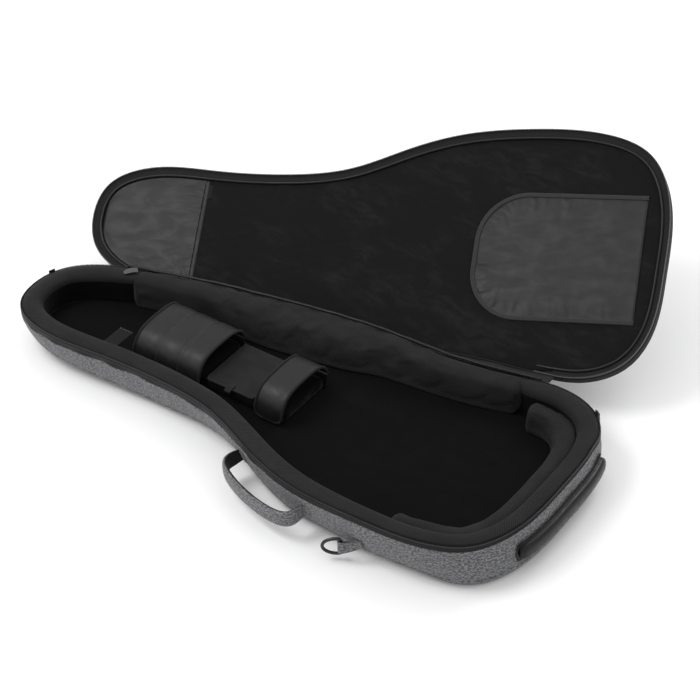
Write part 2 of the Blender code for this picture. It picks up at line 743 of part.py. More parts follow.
def lid_head_pocket(pivot, pocket_look, hem_look, tag_look):
    ring = inset_ring(POCKET_INSET)
    first = [tuple(ring[i]) for i in range(COUNT // 2) if ring[i, 0] < HEAD_POCKET_X]
    last = [tuple(ring[i]) for i in range(COUNT // 2, COUNT) if ring[i, 0] < HEAD_POCKET_X]
    near_y = first[-1][1]
    far_y = last[0][1]
    outline = first + [(HEAD_POCKET_X, near_y), (HEAD_POCKET_X, far_y)] + last
    low = LID_LINER_Z - GAP - POCKET_DEPTH
    high = LID_LINER_Z - GAP
    prism_object("lid_head_pocket", outline, low, high, pocket_look, pivot, HINGE_POINT)
    edge = HEAD_POCKET_X + GAP
    box_object("lid_head_pocket_hem", (edge, near_y + 1, low), (edge + BINDING, far_y - 3, high), hem_look,
               parent=pivot, origin=HINGE_POINT)
    tag_start = edge + BINDING + GAP
    tag_low = (tag_start, near_y + BINDING, high - TAG_THICKNESS)
    tag_high = (tag_start + TAG_WIDTH, near_y + BINDING + TAG_LENGTH, high)
    box_object("lid_woven_tag", tag_low, tag_high, tag_look, parent=pivot, origin=HINGE_POINT)


def rounded_end(x_left, x_right, y_low, y_high, radius):
    """Plan of a panel whose left corners are rounded; it runs anticlockwise."""
    steps = 8
    middle_x = x_left + radius
    points = [(x_right, y_high)]
    for first_angle, middle_y in ((math.pi / 2, y_high - radius), (math.pi, y_low + radius)):
        for step in range(steps + 1):
            angle = first_angle + math.pi / 2 * step / steps
            points.append((middle_x + radius * math.cos(angle), middle_y + radius * math.sin(angle)))
    points.append((x_right, y_low))
    return points


def lid_body_pocket(pivot, pocket_look, binding_look):
    low = LID_LINER_Z - GAP - POCKET_DEPTH
    high = LID_LINER_Z - GAP
    left, right = BODY_POCKET_X
    y_low, y_high = BODY_POCKET_Y

    def outline(inset):
        return rounded_end(left + inset, right, y_low + inset, y_high - inset, BODY_POCKET_RADIUS - inset)

    prism_object("lid_body_pocket", outline(BINDING), low, high, pocket_look, pivot, HINGE_POINT)
    edge_in = outline(BINDING - GAP)
    edge_out = outline(0)
    band = edge_out + edge_in[::-1]
    count = len(edge_out)
    vertices = [(x, y, low) for x, y in band] + [(x, y, high) for x, y in band]
    total = len(band)
    faces = []
    for i in range(count - 1):
        j = total - 1 - i
        faces.append((i, i + 1, j - 1, j))
        faces.append((total + i, total + i + 1, total + j - 1, total + j))
    for i in range(total):
        j = (i + 1) % total
        faces.append((i, j, total + j, total + i))
    finish_mesh("lid_body_pocket_binding", vertices, faces, binding_look, pivot, HINGE_POINT, smooth=False)


def hinge_gusset(look):
    """Fabric strip that joins the far side of the base to the lid."""
    stations = stations_between(nearest_station(GUSSET_X[1], True), nearest_station(GUSSET_X[0], True))
    low, high = GUSSET_Z
    section = [(-0.5, low), (-0.5, high), (-1.5, high), (-1.5, low)]
    strip_object("hinge_gusset", stations, section, look)


def build():
    clear_scene()
    heather = material("heather_fabric", HEATHER, 0.9)
    twill = material("twill_fabric", TWILL, 0.8)
    velour = material("velour", VELOUR, 0.95)
    nylon = material("satin_nylon", NYLON, 0.55)
    webbing = material("webbing", WEBBING, 0.8)
    rubber = material("rubber", RUBBER, 0.3)
    steel = material("black_metal", STEEL_BLACK, 0.35, 1.0)
    foam = material("foam", FOAM, 0.95)
    board = material("board", BOARD, 0.6)
    label = material("label", LABEL, 0.8)

    base_shell(heather)
    base_piping(webbing)
    base_stiffener(board)
    base_floor(velour)
    base_rim(twill)
    far_side_pad(twill)
    end_bolster(twill)
    base_zipper(webbing, board)
    end_bumper(rubber)
    head_loop(webbing)
    care_label(label)
    neck_rests(velour)
    accessory_box(nylon, nylon)
    for name, span in (("wide_neck_strap", WIDE_STRAP_X), ("narrow_neck_strap", NARROW_STRAP_X)):
        strap(name, span, nylon)
        strap_landing(name + "_landing", span, webbing)
    handle(heather, twill, heather)
    d_ring(steel, heather)
    zipper_slider("zipper_slider_head", COUNT - 1, steel)
    zipper_slider("zipper_slider_body", nearest_station(BODY_SLIDER_X, True), steel)
    hinge_gusset(webbing)

    pivot = lid_pivot()
    lid_shell(pivot, webbing, heather)
    lid_core(pivot, foam, velour)
    lid_edge(pivot, nylon, webbing, board)
    lid_head_pocket(pivot, nylon, webbing, label)
    lid_body_pocket(pivot, nylon, webbing)


build()
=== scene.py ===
"""Looks for a padded guitar case standing open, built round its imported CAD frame.

Lengths in this file are millimetres until a mesh is made; +X runs from the head end to the
body end, +Y towards the hinge and +Z up, as in the frame.  Lid pieces are drawn where they
sit when the lid is shut and are then turned open about its hinge axis.
"""

import math

import bmesh
import bpy
import numpy as np
from mathutils import Matrix, Vector


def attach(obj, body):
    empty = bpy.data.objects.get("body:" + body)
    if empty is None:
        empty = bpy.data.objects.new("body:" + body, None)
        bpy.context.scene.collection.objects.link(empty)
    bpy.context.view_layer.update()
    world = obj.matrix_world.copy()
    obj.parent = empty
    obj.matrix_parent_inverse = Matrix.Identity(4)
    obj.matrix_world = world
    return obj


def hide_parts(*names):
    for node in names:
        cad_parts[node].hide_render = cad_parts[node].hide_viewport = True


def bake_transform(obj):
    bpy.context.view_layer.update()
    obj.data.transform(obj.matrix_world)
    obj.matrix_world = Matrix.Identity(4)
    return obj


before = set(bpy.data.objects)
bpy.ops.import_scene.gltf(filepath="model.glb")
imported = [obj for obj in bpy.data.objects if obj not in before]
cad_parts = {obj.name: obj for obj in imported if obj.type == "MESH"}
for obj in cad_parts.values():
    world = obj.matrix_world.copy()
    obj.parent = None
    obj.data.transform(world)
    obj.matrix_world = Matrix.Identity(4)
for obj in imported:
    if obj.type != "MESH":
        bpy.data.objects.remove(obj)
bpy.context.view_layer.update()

MM = 0.001
TAU = math.tau

# ------------------------------------------------------------------ camera, light, floor

CAMERA_PLACE = (1.9813744, -2.4639506, 2.6864168)
CAMERA_TURN = (0.8889, 0.0293, 0.6226)
CAMERA_LENS = 129.2
LIGHT_TARGET = (0.0, 0.1, 0.1)
FLOOR_HALF = 30


def add_object(name, data):
    """A new object, linked into the scene."""
    made = bpy.data.objects.new(name, data)
    bpy.context.scene.collection.objects.link(made)
    return made


def make_camera():
    data = bpy.data.cameras.new("camera")
    data.lens = CAMERA_LENS
    data.sensor_width = 36
    made = add_object("camera", data)
    made.location = CAMERA_PLACE
    made.rotation_euler = CAMERA_TURN
    bpy.context.scene.camera = made


def area_light(name, place, size, energy):
    data = bpy.data.lights.new(name, "AREA")
    data.shape = "DISK"
    data.size = size
    data.energy = energy
    made = add_object(name, data)
    made.location = place
    made.rotation_mode = "QUATERNION"
    made.rotation_quaternion = (Vector(LIGHT_TARGET) - Vector(place)).to_track_quat("-Z", "Y")


def make_studio():
    scene = bpy.context.scene
    scene.view_settings.view_transform = "Standard"
    world = bpy.data.worlds.new("studio")
    world.use_nodes = True
    background = world.node_tree.nodes["Background"]
    background.inputs["Color"].default_value = (1.0, 1.0, 1.0, 1.0)
    background.inputs["Strength"].default_value = 0.85
    scene.world = world
    area_light("key", (-1.4, -0.9, 2.6), 1.6, 42)
    area_light("rear", (0.6, 2.4, 2.2), 1.4, 26)

    floor_look = bpy.data.materials.new("studio_floor")
    floor_look.use_nodes = True
    nodes, links = floor_look.node_tree.nodes, floor_look.node_tree.links
    shader = nodes["Principled BSDF"]
    shader.inputs["Roughness"].default_value = 0.9
    grain = nodes.new("ShaderNodeTexNoise")
    grain.inputs["Scale"].default_value = 3
    tone = nodes.new("ShaderNodeMapRange")
    tone.inputs["To Min"].default_value = 0.93
    tone.inputs["To Max"].default_value = 0.95
    links.new(grain.outputs["Fac"], tone.inputs["Value"])
    links.new(tone.outputs["Result"], shader.inputs["Base Color"])
    mesh = bpy.data.meshes.new("studio_floor")
    corners = [(x * FLOOR_HALF, y * FLOOR_HALF, 0) for x, y in ((-1, -1), (1, -1), (1, 1), (-1, 1))]
    mesh.from_pydata(corners, [], [(0, 1, 2, 3)])
    mesh.materials.append(floor_look)
    floor = add_object("studio_floor", mesh)
    floor.location.z = -0.5 * MM


# ------------------------------------------------------------------ plan outline

HEAD_TIP = (-512, -45)
BODY_TIP = (519, 20)
NEAR_SIDE = [(-494, -106), (-440, -136), (-300, -138), (-150, -135), (-45, -150), (50, -188),
             (145, -218), (270, -231), (392, -224), (472, -189), (513, -110)]
FAR_SIDE = [(508, 122), (475, 180), (405, 211), (320, 203), (230, 185), (85, 168), (-65, 147),
            (-210, 118), (-350, 90), (-445, 56), (-496, 12)]
HALF = 280
COUNT = 2 * HALF  # stations round the outline, from the head tip along the near side and back
RIPPLE_WAVES = 14
FIELD_WAVES = 12

HINGE_POINT = np.array([-27.0, 150.6, 62.8])
HINGE_YAW = math.radians(10.87)
HINGE_TILT = math.radians(1.04)
OPEN_ANGLE = math.radians(147.5)


def closed_spline(points, samples_per_span):
    """Smooth closed curve through the points, with the chord length as its parameter."""
    ring = np.array(points, float)
    count = len(ring)
    span = np.linalg.norm(np.roll(ring, -1, axis=0) - ring, axis=1)
    slope_matrix = np.zeros((count, count))
    right = np.zeros((count, 2))
    for i in range(count):
        before, after = span[i - 1], span[i]
        slope_matrix[i, i - 1] += after
        slope_matrix[i, i] += 2 * (before + after)
        slope_matrix[i, (i + 1) % count] += before
        rise_in = (ring[i] - ring[i - 1]) / before
        rise_out = (ring[(i + 1) % count] - ring[i]) / after
        right[i] = 3 * (after * rise_in + before * rise_out)
    slopes = np.linalg.solve(slope_matrix, right)
    curve = []
    for i in range(count):
        j = (i + 1) % count
        for step in range(samples_per_span):
            t = step / samples_per_span
            start = (1 + 2 * t) * (1 - t) ** 2 * ring[i] + t * (1 - t) ** 2 * span[i] * slopes[i]
            end = t * t * (3 - 2 * t) * ring[j] + t * t * (t - 1) * span[i] * slopes[j]
            curve.append(start + end)
    return np.array(curve)


def travel(line, closed=False):
    """Distance along a line at each of its points; closed adds the way back to its start."""
    steps = np.roll(line, -1, axis=0) - line if closed else np.diff(line, axis=0)
    return np.concatenate([[0], np.cumsum(np.linalg.norm(steps, axis=1))])


def along_length(curve, count, endpoint=False):
    """Points spaced evenly along an open curve of any dimension."""
    curve = np.asarray(curve, float)
    length = travel(curve)
    wanted = np.linspace(0, length[-1], count, endpoint=endpoint)
    return np.column_stack([np.interp(wanted, length, column) for column in curve.T])


def unit(vectors):
    """Each row scaled to length one."""
    return vectors / np.linalg.norm(vectors, axis=1)[:, None]


def right_of(tangent):
    """Flat unit vectors to the right of these directions."""
    tangent = unit(tangent)
    return np.column_stack([tangent[:, 1], -tangent[:, 0]])


def plan_outline():
    """Stations at even steps, as many on the near side as on the far side."""
    samples = 60
    curve = closed_spline([HEAD_TIP] + NEAR_SIDE + [BODY_TIP] + FAR_SIDE, samples)
    turn = samples * (len(NEAR_SIDE) + 1)
    near = along_length(curve[:turn + 1], HALF)
    far = along_length(np.vstack([curve[turn:], curve[:1]]), HALF)
    return np.vstack([near, far])


def outward(ring):
    return right_of(np.roll(ring, -1, axis=0) - np.roll(ring, 1, axis=0))


OUTLINE = plan_outline()
LAP = travel(OUTLINE, closed=True)[-1]
STEP = LAP / COUNT


def smooth_ring(values, passes):
    for _ in range(passes):
        values = 0.5 * values + 0.25 * (np.roll(values, 1, axis=0) + np.roll(values, -1, axis=0))
    return values


def inset_ring(inset):
    """The outline moved inwards in short steps, evened out so that corners do not fold over."""
    inset = np.broadcast_to(np.asarray(inset, float), (COUNT,))
    steps = max(1, math.ceil(np.abs(inset).max() / 5))
    ring = OUTLINE.copy()
    for _ in range(steps):
        ring = ring - outward(ring) * (inset / steps)[:, None]
        if np.abs(inset).max() > 8:
            ring = smooth_ring(ring, 3)
    return ring


def smooth_step(value, start, end):
    t = np.clip((value - start) / (end - start), 0, 1)
    return t * t * (3 - 2 * t)


def at_height(flat, height):
    """Plan points lifted to one height, or to a height each."""
    return np.column_stack([flat, np.broadcast_to(height, len(flat))])


def ring_points(inset, height):
    return at_height(inset_ring(inset), height)


def plan_grid(xs, ys):
    """Plan points with a row for each x and a column for each y."""
    return np.array([[(x, y) for y in ys] for x in xs])


def ripple(low, high, seed):
    """Random waviness round the outline, about -1 to 1, with low to high waves a lap."""
    rng = np.random.default_rng(seed)
    turn = np.linspace(0, TAU, COUNT, endpoint=False)
    total = np.zeros(COUNT)
    for _ in range(RIPPLE_WAVES):
        total += rng.uniform(0.5, 1) * np.sin(rng.integers(low, high + 1) * turn + rng.uniform(0, TAU))
    return total / math.sqrt(RIPPLE_WAVES)


def field(x, y, size, seed):
    """Smooth random field over the plane, about -1 to 1, with features of about this size."""
    rng = np.random.default_rng(seed)
    total = np.zeros(np.shape(x))
    for _ in range(FIELD_WAVES):
        angle = rng.uniform(0, TAU)
        waves = TAU / (2 * size) * rng.uniform(0.6, 1.6)
        total = total + np.sin(waves * (x * math.cos(angle) + y * math.sin(angle)) + rng.uniform(0, TAU))
    return total / math.sqrt(FIELD_WAVES)


def lid_turn():
    axis = Vector((math.cos(HINGE_YAW) * math.cos(HINGE_TILT),
                   math.sin(HINGE_YAW) * math.cos(HINGE_TILT), math.sin(HINGE_TILT)))
    return np.array(Matrix.Rotation(-OPEN_ANGLE, 3, axis))


LID_TURN = lid_turn()


def open_lid(points):
    """From the shut lid's place to the open one."""
    return (np.asarray(points) - HINGE_POINT) @ LID_TURN.T + HINGE_POINT


# ------------------------------------------------------------------ mesh making

def shaded_object(name, mesh, look, smooth):
    mesh.shade_smooth()
    if smooth < 180:
        mesh.set_sharp_from_angle(angle=math.radians(smooth))
    mesh.materials.append(look)
    return add_object(name, mesh)


def block_object(name, shape, look, smooth=180):
    """Object from a bmesh built of blocks."""
    mesh = bpy.data.meshes.new(name)
    shape.to_mesh(mesh)
    shape.free()
    mesh.uv_layers.new(name="weave")
    return shaded_object(name, mesh, look, smooth)


def finish_mesh(name, points, faces, look, uv=None, smooth=35, weld=False):
    mesh = bpy.data.meshes.new(name)
    mesh.from_pydata([tuple(p) for p in np.asarray(points) * MM], [], [tuple(f) for f in faces])
    layer = mesh.uv_layers.new(name="weave")
    if uv is not None:
        layer.data.foreach_set("uv", (np.asarray(uv, float) * MM).ravel())
    shape = bmesh.new()
    shape.from_mesh(mesh)
    if weld:
        bmesh.ops.remove_doubles(shape, verts=shape.verts, dist=0.02 * MM)
    bmesh.ops.recalc_face_normals(shape, faces=shape.faces)
    shape.to_mesh(mesh)
    shape.free()
    return shaded_object(name, mesh, look, smooth)


def grid_object(name, points, look, wrap_u=False, wrap_v=False, caps=False, smooth=180):
    """Mesh from points[v][u]; its weave coordinates are distances along the two directions."""
    points = np.asarray(points, float)
    rows, columns = points.shape[:2]
    down = travel(points[:, columns // 2], closed=True)
    across = travel(points[rows // 2], closed=True)
    faces, uv = [], []
    for v in range(rows if wrap_v else rows - 1):
        below = (v + 1) % rows
        for u in range(columns if wrap_u else columns - 1):
            beside = (u + 1) % columns
            corners = ((v, u), (v, beside), (below, beside), (below, u))
            faces.append(tuple(row * columns + column for row, column in corners))
            uv += [(across[u + a], down[v + b]) for a, b in ((0, 0), (1, 0), (1, 1), (0, 1))]
    if caps:
        for u in (0, columns - 1):
            faces.append(tuple(v * columns + u for v in range(rows)))
            uv += [(across[u], down[v]) for v in range(rows)]
    return finish_mesh(name, points.reshape(-1, 3), faces, look, uv, smooth)


def ring_object(name, profile, look, lid=False):
    """Closed band round the whole outline; profile is a closed section of (inset, height)."""
    points = np.array([ring_points(inset, height) for inset, height in profile])
    if lid:
        points = open_lid(points.reshape(-1, 3)).reshape(points.shape)
    return grid_object(name, points, look, wrap_u=True, wrap_v=True)


def curve_through(spans, per_span):
    """Smooth curve: each span is four points, and runs from its second point to its third."""
    out = []
    for p in spans:
        for t in (step / per_span for step in range(per_span)):
            weights = (-t + 2 * t * t - t ** 3, 2 - 5 * t * t + 3 * t ** 3,
                       t + 4 * t * t - 3 * t ** 3, t ** 3 - t * t)
            out.append([sum(0.5 * w * q[axis] for w, q in zip(weights, p)) for axis in range(len(p[0]))])
    return out


def rounded_profile(corners, per_span=4):
    """Closed section with softened corners: each (inset, height) corner becomes a curve."""
    count = len(corners)
    spans = [[corners[(i + k) % count] for k in (-1, 0, 1, 2)] for i in range(count)]
    return curve_through(spans, per_span)


def smooth_path(points, per_span=10):
    """Open curve through the points."""
    points = np.array(points, float)
    points = np.vstack([2 * points[0] - points[1], points, 2 * points[-1] - points[-2]])
    spans = [points[i - 1:i + 3] for i in range(1, len(points) - 2)]
    return np.array(curve_through(spans, per_span) + [points[-2]])


def round_section(inset, height, radius, sides):
    """Section of a cord: a circle about (inset, height)."""
    turns = [TAU * step / sides for step in range(sides)]
    return [(inset + radius * math.cos(a), height + radius * math.sin(a)) for a in turns]


def panel_points(inset, across):
    """Grid over the plan: one row for each pair of opposite stations, near side to far side."""
    ring = inset_ring(inset)
    near = ring[:HALF + 1, None]
    far = ring[(COUNT - np.arange(HALF + 1)) % COUNT, None]
    return near + (far - near) * np.linspace(0, 1, across + 1)[:, None]


def edge_distance(flat, inset):
    """How far inside the ring of this inset each plan point lies."""
    ring = inset_ring(inset)
    points = flat.reshape(-1, 2)
    nearest = np.empty(len(points))
    for start in range(0, len(points), 2000):
        part = points[start:start + 2000]
        gap = np.linalg.norm(part[:, None] - ring[None], axis=2)
        nearest[start:start + 2000] = gap.min(axis=1)
    return nearest.reshape(flat.shape[:2])


def closed_panel(name, plan, front, back, look, lid=False):
    """Slab over a plan grid, between two height fields."""
    rows, columns = plan.shape[:2]
    front_points = np.dstack([plan, np.broadcast_to(front, (rows, columns))])
    back_points = np.dstack([plan, np.broadcast_to(back, (rows, columns))])
    points = np.concatenate([front_points.reshape(-1, 3), back_points.reshape(-1, 3)])
    if lid:
        points = open_lid(points)
    faces, uv = [], []
    total = rows * columns
    flat = plan.reshape(-1, 2)

    def add(face):
        faces.append(face)
        uv.extend(flat[i % total] for i in face)

    for r in range(rows - 1):
        for c in range(columns - 1):
            i = r * columns + c
            add((i, i + 1, i + columns + 1, i + columns))
            add((total + i, total + i + columns, total + i + columns + 1, total + i + 1))
    sides = [(r * columns + c, columns) for r in range(rows - 1) for c in (0, columns - 1)]
    ends = [(r * columns + c, 1) for c in range(columns - 1) for r in (0, rows - 1)]
    for i, step in sides + ends:
        add((i, i + step, total + i + step, total + i))
    return finish_mesh(name, points, faces, look, uv, smooth=180, weld=True)


def tube_object(name, path, radius, look, sides=10, closed=False, up=(0, 0, 1)):
    """Round cord along a path."""
    path = np.asarray(path, float)
    count = len(path)
    if closed:
        tangent = np.roll(path, -1, axis=0) - np.roll(path, 1, axis=0)
    else:
        tangent = np.gradient(path, axis=0)
    tangent = unit(tangent)
    side = unit(np.cross(tangent, np.broadcast_to(np.array(up, float), path.shape)))
    over = np.cross(side, tangent)
    radius = np.broadcast_to(np.asarray(radius, float), (count,))[:, None]
    rows = []
    for step in range(sides):
        angle = TAU * step / sides
        rows.append(path + side * radius * math.cos(angle) + over * radius * math.sin(angle))
    return grid_object(name, rows, look, wrap_u=closed, wrap_v=True, caps=not closed)


def scatter_object(name, shape, shape_faces, places, axes, look, smooth, lid=False):
    """Copies of one small solid, each at its place and in its own three axes."""
    shape = np.array(shape, float)
    points = places[:, None] + sum(shape[None, :, k, None] * axes[k][:, None] for k in range(3))
    points = points.reshape(-1, 3)
    if lid:
        points = open_lid(points)
    firsts = range(0, len(points), len(shape))
    faces = [tuple(first + k for k in face) for first in firsts for face in shape_faces]
    return finish_mesh(name, points, faces, look, smooth=smooth)


STITCH = [(-0.5, 0, -0.4), (-0.32, 0.5, 0.35), (-0.32, -0.5, 0.35), (0.32, 0.5, 0.35),
          (0.32, -0.5, 0.35), (0.5, 0, -0.4), (-0.3, 0, 1.0), (0.3, 0, 1.0)]
STITCH_FACES = [(0, 1, 6), (0, 6, 2), (1, 3, 7, 6), (2, 6, 7, 4), (3, 5, 7), (4, 7, 5), (0, 2, 4, 5, 3, 1)]
STITCH_PROUD = 0.35
TOOTH = [(-0.5, -0.9, -0.75), (-0.5, 0.7, -0.9), (0.5, 0.7, -0.9), (0.5, -0.9, -0.75),
         (-0.28, -0.7, 0.85), (-0.28, 0.95, 0.6), (0.28, 0.95, 0.6), (0.28, -0.7, 0.85)]
TOOTH_FACES = [(0, 1, 2, 3), (4, 7, 6, 5), (0, 4, 5, 1), (1, 5, 6, 2), (2, 6, 7, 3), (3, 7, 4, 0)]
TOOTH_PITCH = 2.2


def sew(name, path, normal, thread, body, slot, pitch=4.2, length=2.9, width=0.55):
    """A row of stitches lying on a surface along a path."""
    path = np.asarray(path, float)
    count = max(2, int(travel(path)[-1] / pitch))
    centres = along_length(np.column_stack([path, np.broadcast_to(normal, path.shape)]), count, endpoint=True)
    place, out = centres[:, :3], unit(centres[:, 3:])
    tangent = unit(np.gradient(place, axis=0))
    axes = (tangent * length, np.cross(out, tangent) * width, out * STITCH_PROUD)
    into_place(scatter_object(name, STITCH, STITCH_FACES, place, axes, thread, 60), body, slot)


def coil_object(name, centre_in, centre_z, look, lid=False):
    """Zipper coil: a row of small rounded teeth round the outline."""
    teeth = int(LAP / TOOTH_PITCH)
    where = np.arange(teeth) * COUNT / teeth
    low = np.floor(where).astype(int) % COUNT
    share = (where - np.floor(where))[:, None]

    def at_teeth(ring):
        return ring[low] * (1 - share) + ring[(low + 1) % COUNT] * share

    ring = inset_ring(centre_in)
    facing = at_teeth(outward(ring))
    height = np.broadcast_to(np.asarray(centre_z, float), (COUNT,))[low]
    along = np.column_stack([-facing[:, 1], facing[:, 0]]) * TOOTH_PITCH * 0.8
    axes = (at_height(along, 0), at_height(facing, 0), np.tile([0, 0, 1.0], (teeth, 1)))
    return scatter_object(name, TOOTH, TOOTH_FACES, at_height(at_teeth(ring), height), axes, look, 50, lid)


PUFF_FRAMES = 18


def puff(made, pressure, cap, low, spare):
    """Swell a padded piece as cloth; what lies below this height is sewn down and stays."""
    group = made.vertex_groups.new(name="sewn")
    group.add([v.index for v in made.data.vertices if v.co.z < low * MM], 1.0, "REPLACE")
    mesh = made.data
    rest = np.empty(len(mesh.vertices) * 3)
    mesh.vertices.foreach_get("co", rest)
    rest = rest.reshape(-1, 3)
    cloth = made.modifiers.new("padding", "CLOTH")
    settings = {"quality": 5, "mass": 0.3, "tension_stiffness": 18, "compression_stiffness": 18,
                "bending_stiffness": 0.4, "use_pressure": True, "uniform_pressure_force": pressure,
                "shrink_min": -spare, "vertex_group_mass": "sewn"}
    for key, value in settings.items():
        setattr(cloth.settings, key, value)
    cloth.settings.effector_weights.gravity = 0
    scene = bpy.context.scene
    cloth.point_cache.frame_start = 1
    cloth.point_cache.frame_end = PUFF_FRAMES
    for frame_number in range(1, PUFF_FRAMES + 1):
        scene.frame_set(frame_number)
    evaluated = made.evaluated_get(bpy.context.evaluated_depsgraph_get())
    swollen = np.empty(len(rest) * 3)
    evaluated.data.vertices.foreach_get("co", swollen)
    moved = swollen.reshape(-1, 3) - rest
    made.modifiers.remove(cloth)
    made.vertex_groups.clear()
    scene.frame_set(1)
    length = np.linalg.norm(moved, axis=1)[:, None]
    limit = cap * MM
    moved *= np.where(length > 1e-9, limit * np.tanh(length / limit) / np.maximum(length, 1e-9), 0)
    mesh.vertices.foreach_set("co", (rest + moved).ravel())
    mesh.update()


def into_place(made, body, slot, *nodes, padded=None):
    """The piece rides on a body and stands for any CAD nodes named; its slot is not used."""
    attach(made, body)
    if nodes:
        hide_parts(*nodes)


# ------------------------------------------------------------------ materials

ONE_WAVE_A_REPEAT = 0.31416
COLOUR_A, COLOUR_B, MIXED_COLOUR = 6, 7, 2  # places of the Mix node's colour sockets


class Look:
    """A Principled material with helpers that chain procedural nodes."""

    def __init__(self, name, roughness, sheen=0.0, sheen_roughness=0.5, coat=0.0, specular=0.5):
        self.material = bpy.data.materials.new(name)
        self.material.use_nodes = True
        self.nodes = self.material.node_tree.nodes
        self.links = self.material.node_tree.links
        self.shader = self.nodes["Principled BSDF"]
        inputs = {"Roughness": roughness, "Sheen Weight": sheen, "Sheen Roughness": sheen_roughness,
                  "Coat Weight": coat, "Coat Roughness": 0.15, "Specular IOR Level": specular}
        for key, value in inputs.items():
            self.shader.inputs[key].default_value = value
        self.normal = None

    def node(self, kind, output, inputs, **settings):
        """Add a node, set or link its inputs, and give back one of its outputs."""
        made = self.nodes.new("ShaderNode" + kind)
        for key, value in settings.items():
            setattr(made, key, value)
        for key, value in inputs.items():
            if hasattr(value, "is_linked"):
                self.links.new(value, made.inputs[key])
            else:
                made.inputs[key].default_value = value
        return made.outputs[output]

    def weave(self, scale_u, scale_v, turn=0.0):
        """Weave coordinates, in repeats; scales are repeats a metre."""
        where = self.node("UVMap", "UV", {}, uv_map="weave")
        inputs = {"Vector": where, "Rotation": (0, 0, turn), "Scale": (scale_u, scale_v, 1)}
        return self.node("Mapping", "Vector", inputs)

    def place(self, scale):
        """Object coordinates, in repeats; scales are repeats a metre."""
        where = self.node("TexCoord", "Object", {})
        scale = (scale, scale, scale) if np.isscalar(scale) else scale
        return self.node("Mapping", "Vector", {"Vector": where, "Scale": scale})

    def noise(self, vector, detail=2.0, roughness=0.5, distortion=0.0):
        inputs = {"Vector": vector, "Scale": 1, "Detail": detail, "Roughness": roughness,
                  "Distortion": distortion}
        return self.node("TexNoise", "Fac", inputs)

    def wave(self, vector, direction="X"):
        """Ribs across a direction, one a repeat."""
        inputs = {"Scale": ONE_WAVE_A_REPEAT, "Detail": 0, "Vector": vector}
        return self.node("TexWave", "Fac", inputs, bands_direction=direction)

    def crossed(self, repeats):
        """Square plain weave: two sets of ribs, one across the other."""
        return self.math("MULTIPLY", *[self.wave(self.weave(repeats, repeats), way) for way in "XY"])

    def math(self, operation, a, b):
        return self.node("Math", "Value", {0: a, 1: b}, operation=operation)

    def remap(self, value, low, high, to_low=0.0, to_high=1.0):
        inputs = {"Value": value, "From Min": low, "From Max": high, "To Min": to_low, "To Max": to_high}
        return self.node("MapRange", "Result", inputs, interpolation_type="SMOOTHSTEP")

    def mix(self, factor, first, second):
        inputs = {"Factor": factor, COLOUR_A: first, COLOUR_B: second}
        return self.node("Mix", MIXED_COLOUR, inputs, data_type="RGBA")

    def colour(self, value):
        self.links.new(value, self.shader.inputs["Base Color"])

    def rough(self, value):
        self.links.new(value, self.shader.inputs["Roughness"])

    def bump(self, height, distance, strength=1.0):
        """Raise the surface, on top of any bump before; distance is in millimetres."""
        inputs = {"Strength": strength, "Distance": distance * MM, "Height": height}
        if self.normal is not None:
            inputs["Normal"] = self.normal
        self.normal = self.node("Bump", "Normal", inputs)
        self.links.new(self.normal, self.shader.inputs["Normal"])


def grey(value, tint=0.0):
    return (value, value, value * (1 + tint), 1.0)


def heather_look():
    """Grey melange: light and dark fibres mixed in short flecks over a fine plain weave."""
    look = Look("heather_fabric", 0.92, sheen=0.12)
    flecks = look.noise(look.weave(220, 360), detail=3, roughness=0.72)
    fine = look.noise(look.weave(1300, 900), detail=2, roughness=0.6)
    clumps = look.noise(look.weave(60, 90), detail=2)
    light = look.remap(flecks, 0.40, 0.62)
    body = look.mix(light, grey(0.044, 0.06), grey(0.235, 0.05))
    dark = look.remap(fine, 0.56, 0.70, 0.0, 0.7)
    body = look.mix(dark, body, grey(0.03, 0.05))
    pale = look.remap(look.noise(look.weave(520, 760), detail=2), 0.66, 0.76, 0.0, 0.8)
    body = look.mix(pale, body, grey(0.42, 0.03))
    shade = look.remap(clumps, 0.3, 0.7, 0.0, 0.22)
    look.colour(look.mix(shade, body, grey(0.075, 0.05)))
    look.bump(look.crossed(900), 0.25, 0.5)
    look.bump(flecks, 0.3, 0.4)
    return look.material


def twill_look():
    """Black spacer twill: raised diagonal ribs crossed by a finer broken rib."""
    look = Look("twill_fabric", 0.74, sheen=0.05, sheen_roughness=0.4, specular=0.16)
    pitch = 1000 / 3.3
    ribs = look.wave(look.weave(pitch, pitch, math.radians(38)), "X")
    cross = look.wave(look.weave(pitch * 1.15, pitch * 1.15, math.radians(-40)), "X")
    cells = look.math("MULTIPLY", ribs, look.math("ADD", look.math("MULTIPLY", cross, 0.75), 0.25))
    fuzz = look.noise(look.weave(1500, 1500), detail=2)
    worn = look.noise(look.weave(16, 30), detail=3)
    body = look.mix(look.remap(cells, 0.08, 0.7), grey(0.0042, 0.03), grey(0.0195, 0.03))
    body = look.mix(look.remap(worn, 0.35, 0.75, 0.0, 0.25), body, grey(0.026, 0.02))
    look.colour(look.mix(look.remap(fuzz, 0.5, 0.8, 0.0, 0.3), body, grey(0.028, 0.03)))
    look.bump(cells, 0.7, 0.8)
    look.bump(fuzz, 0.15, 0.4)
    return look.material


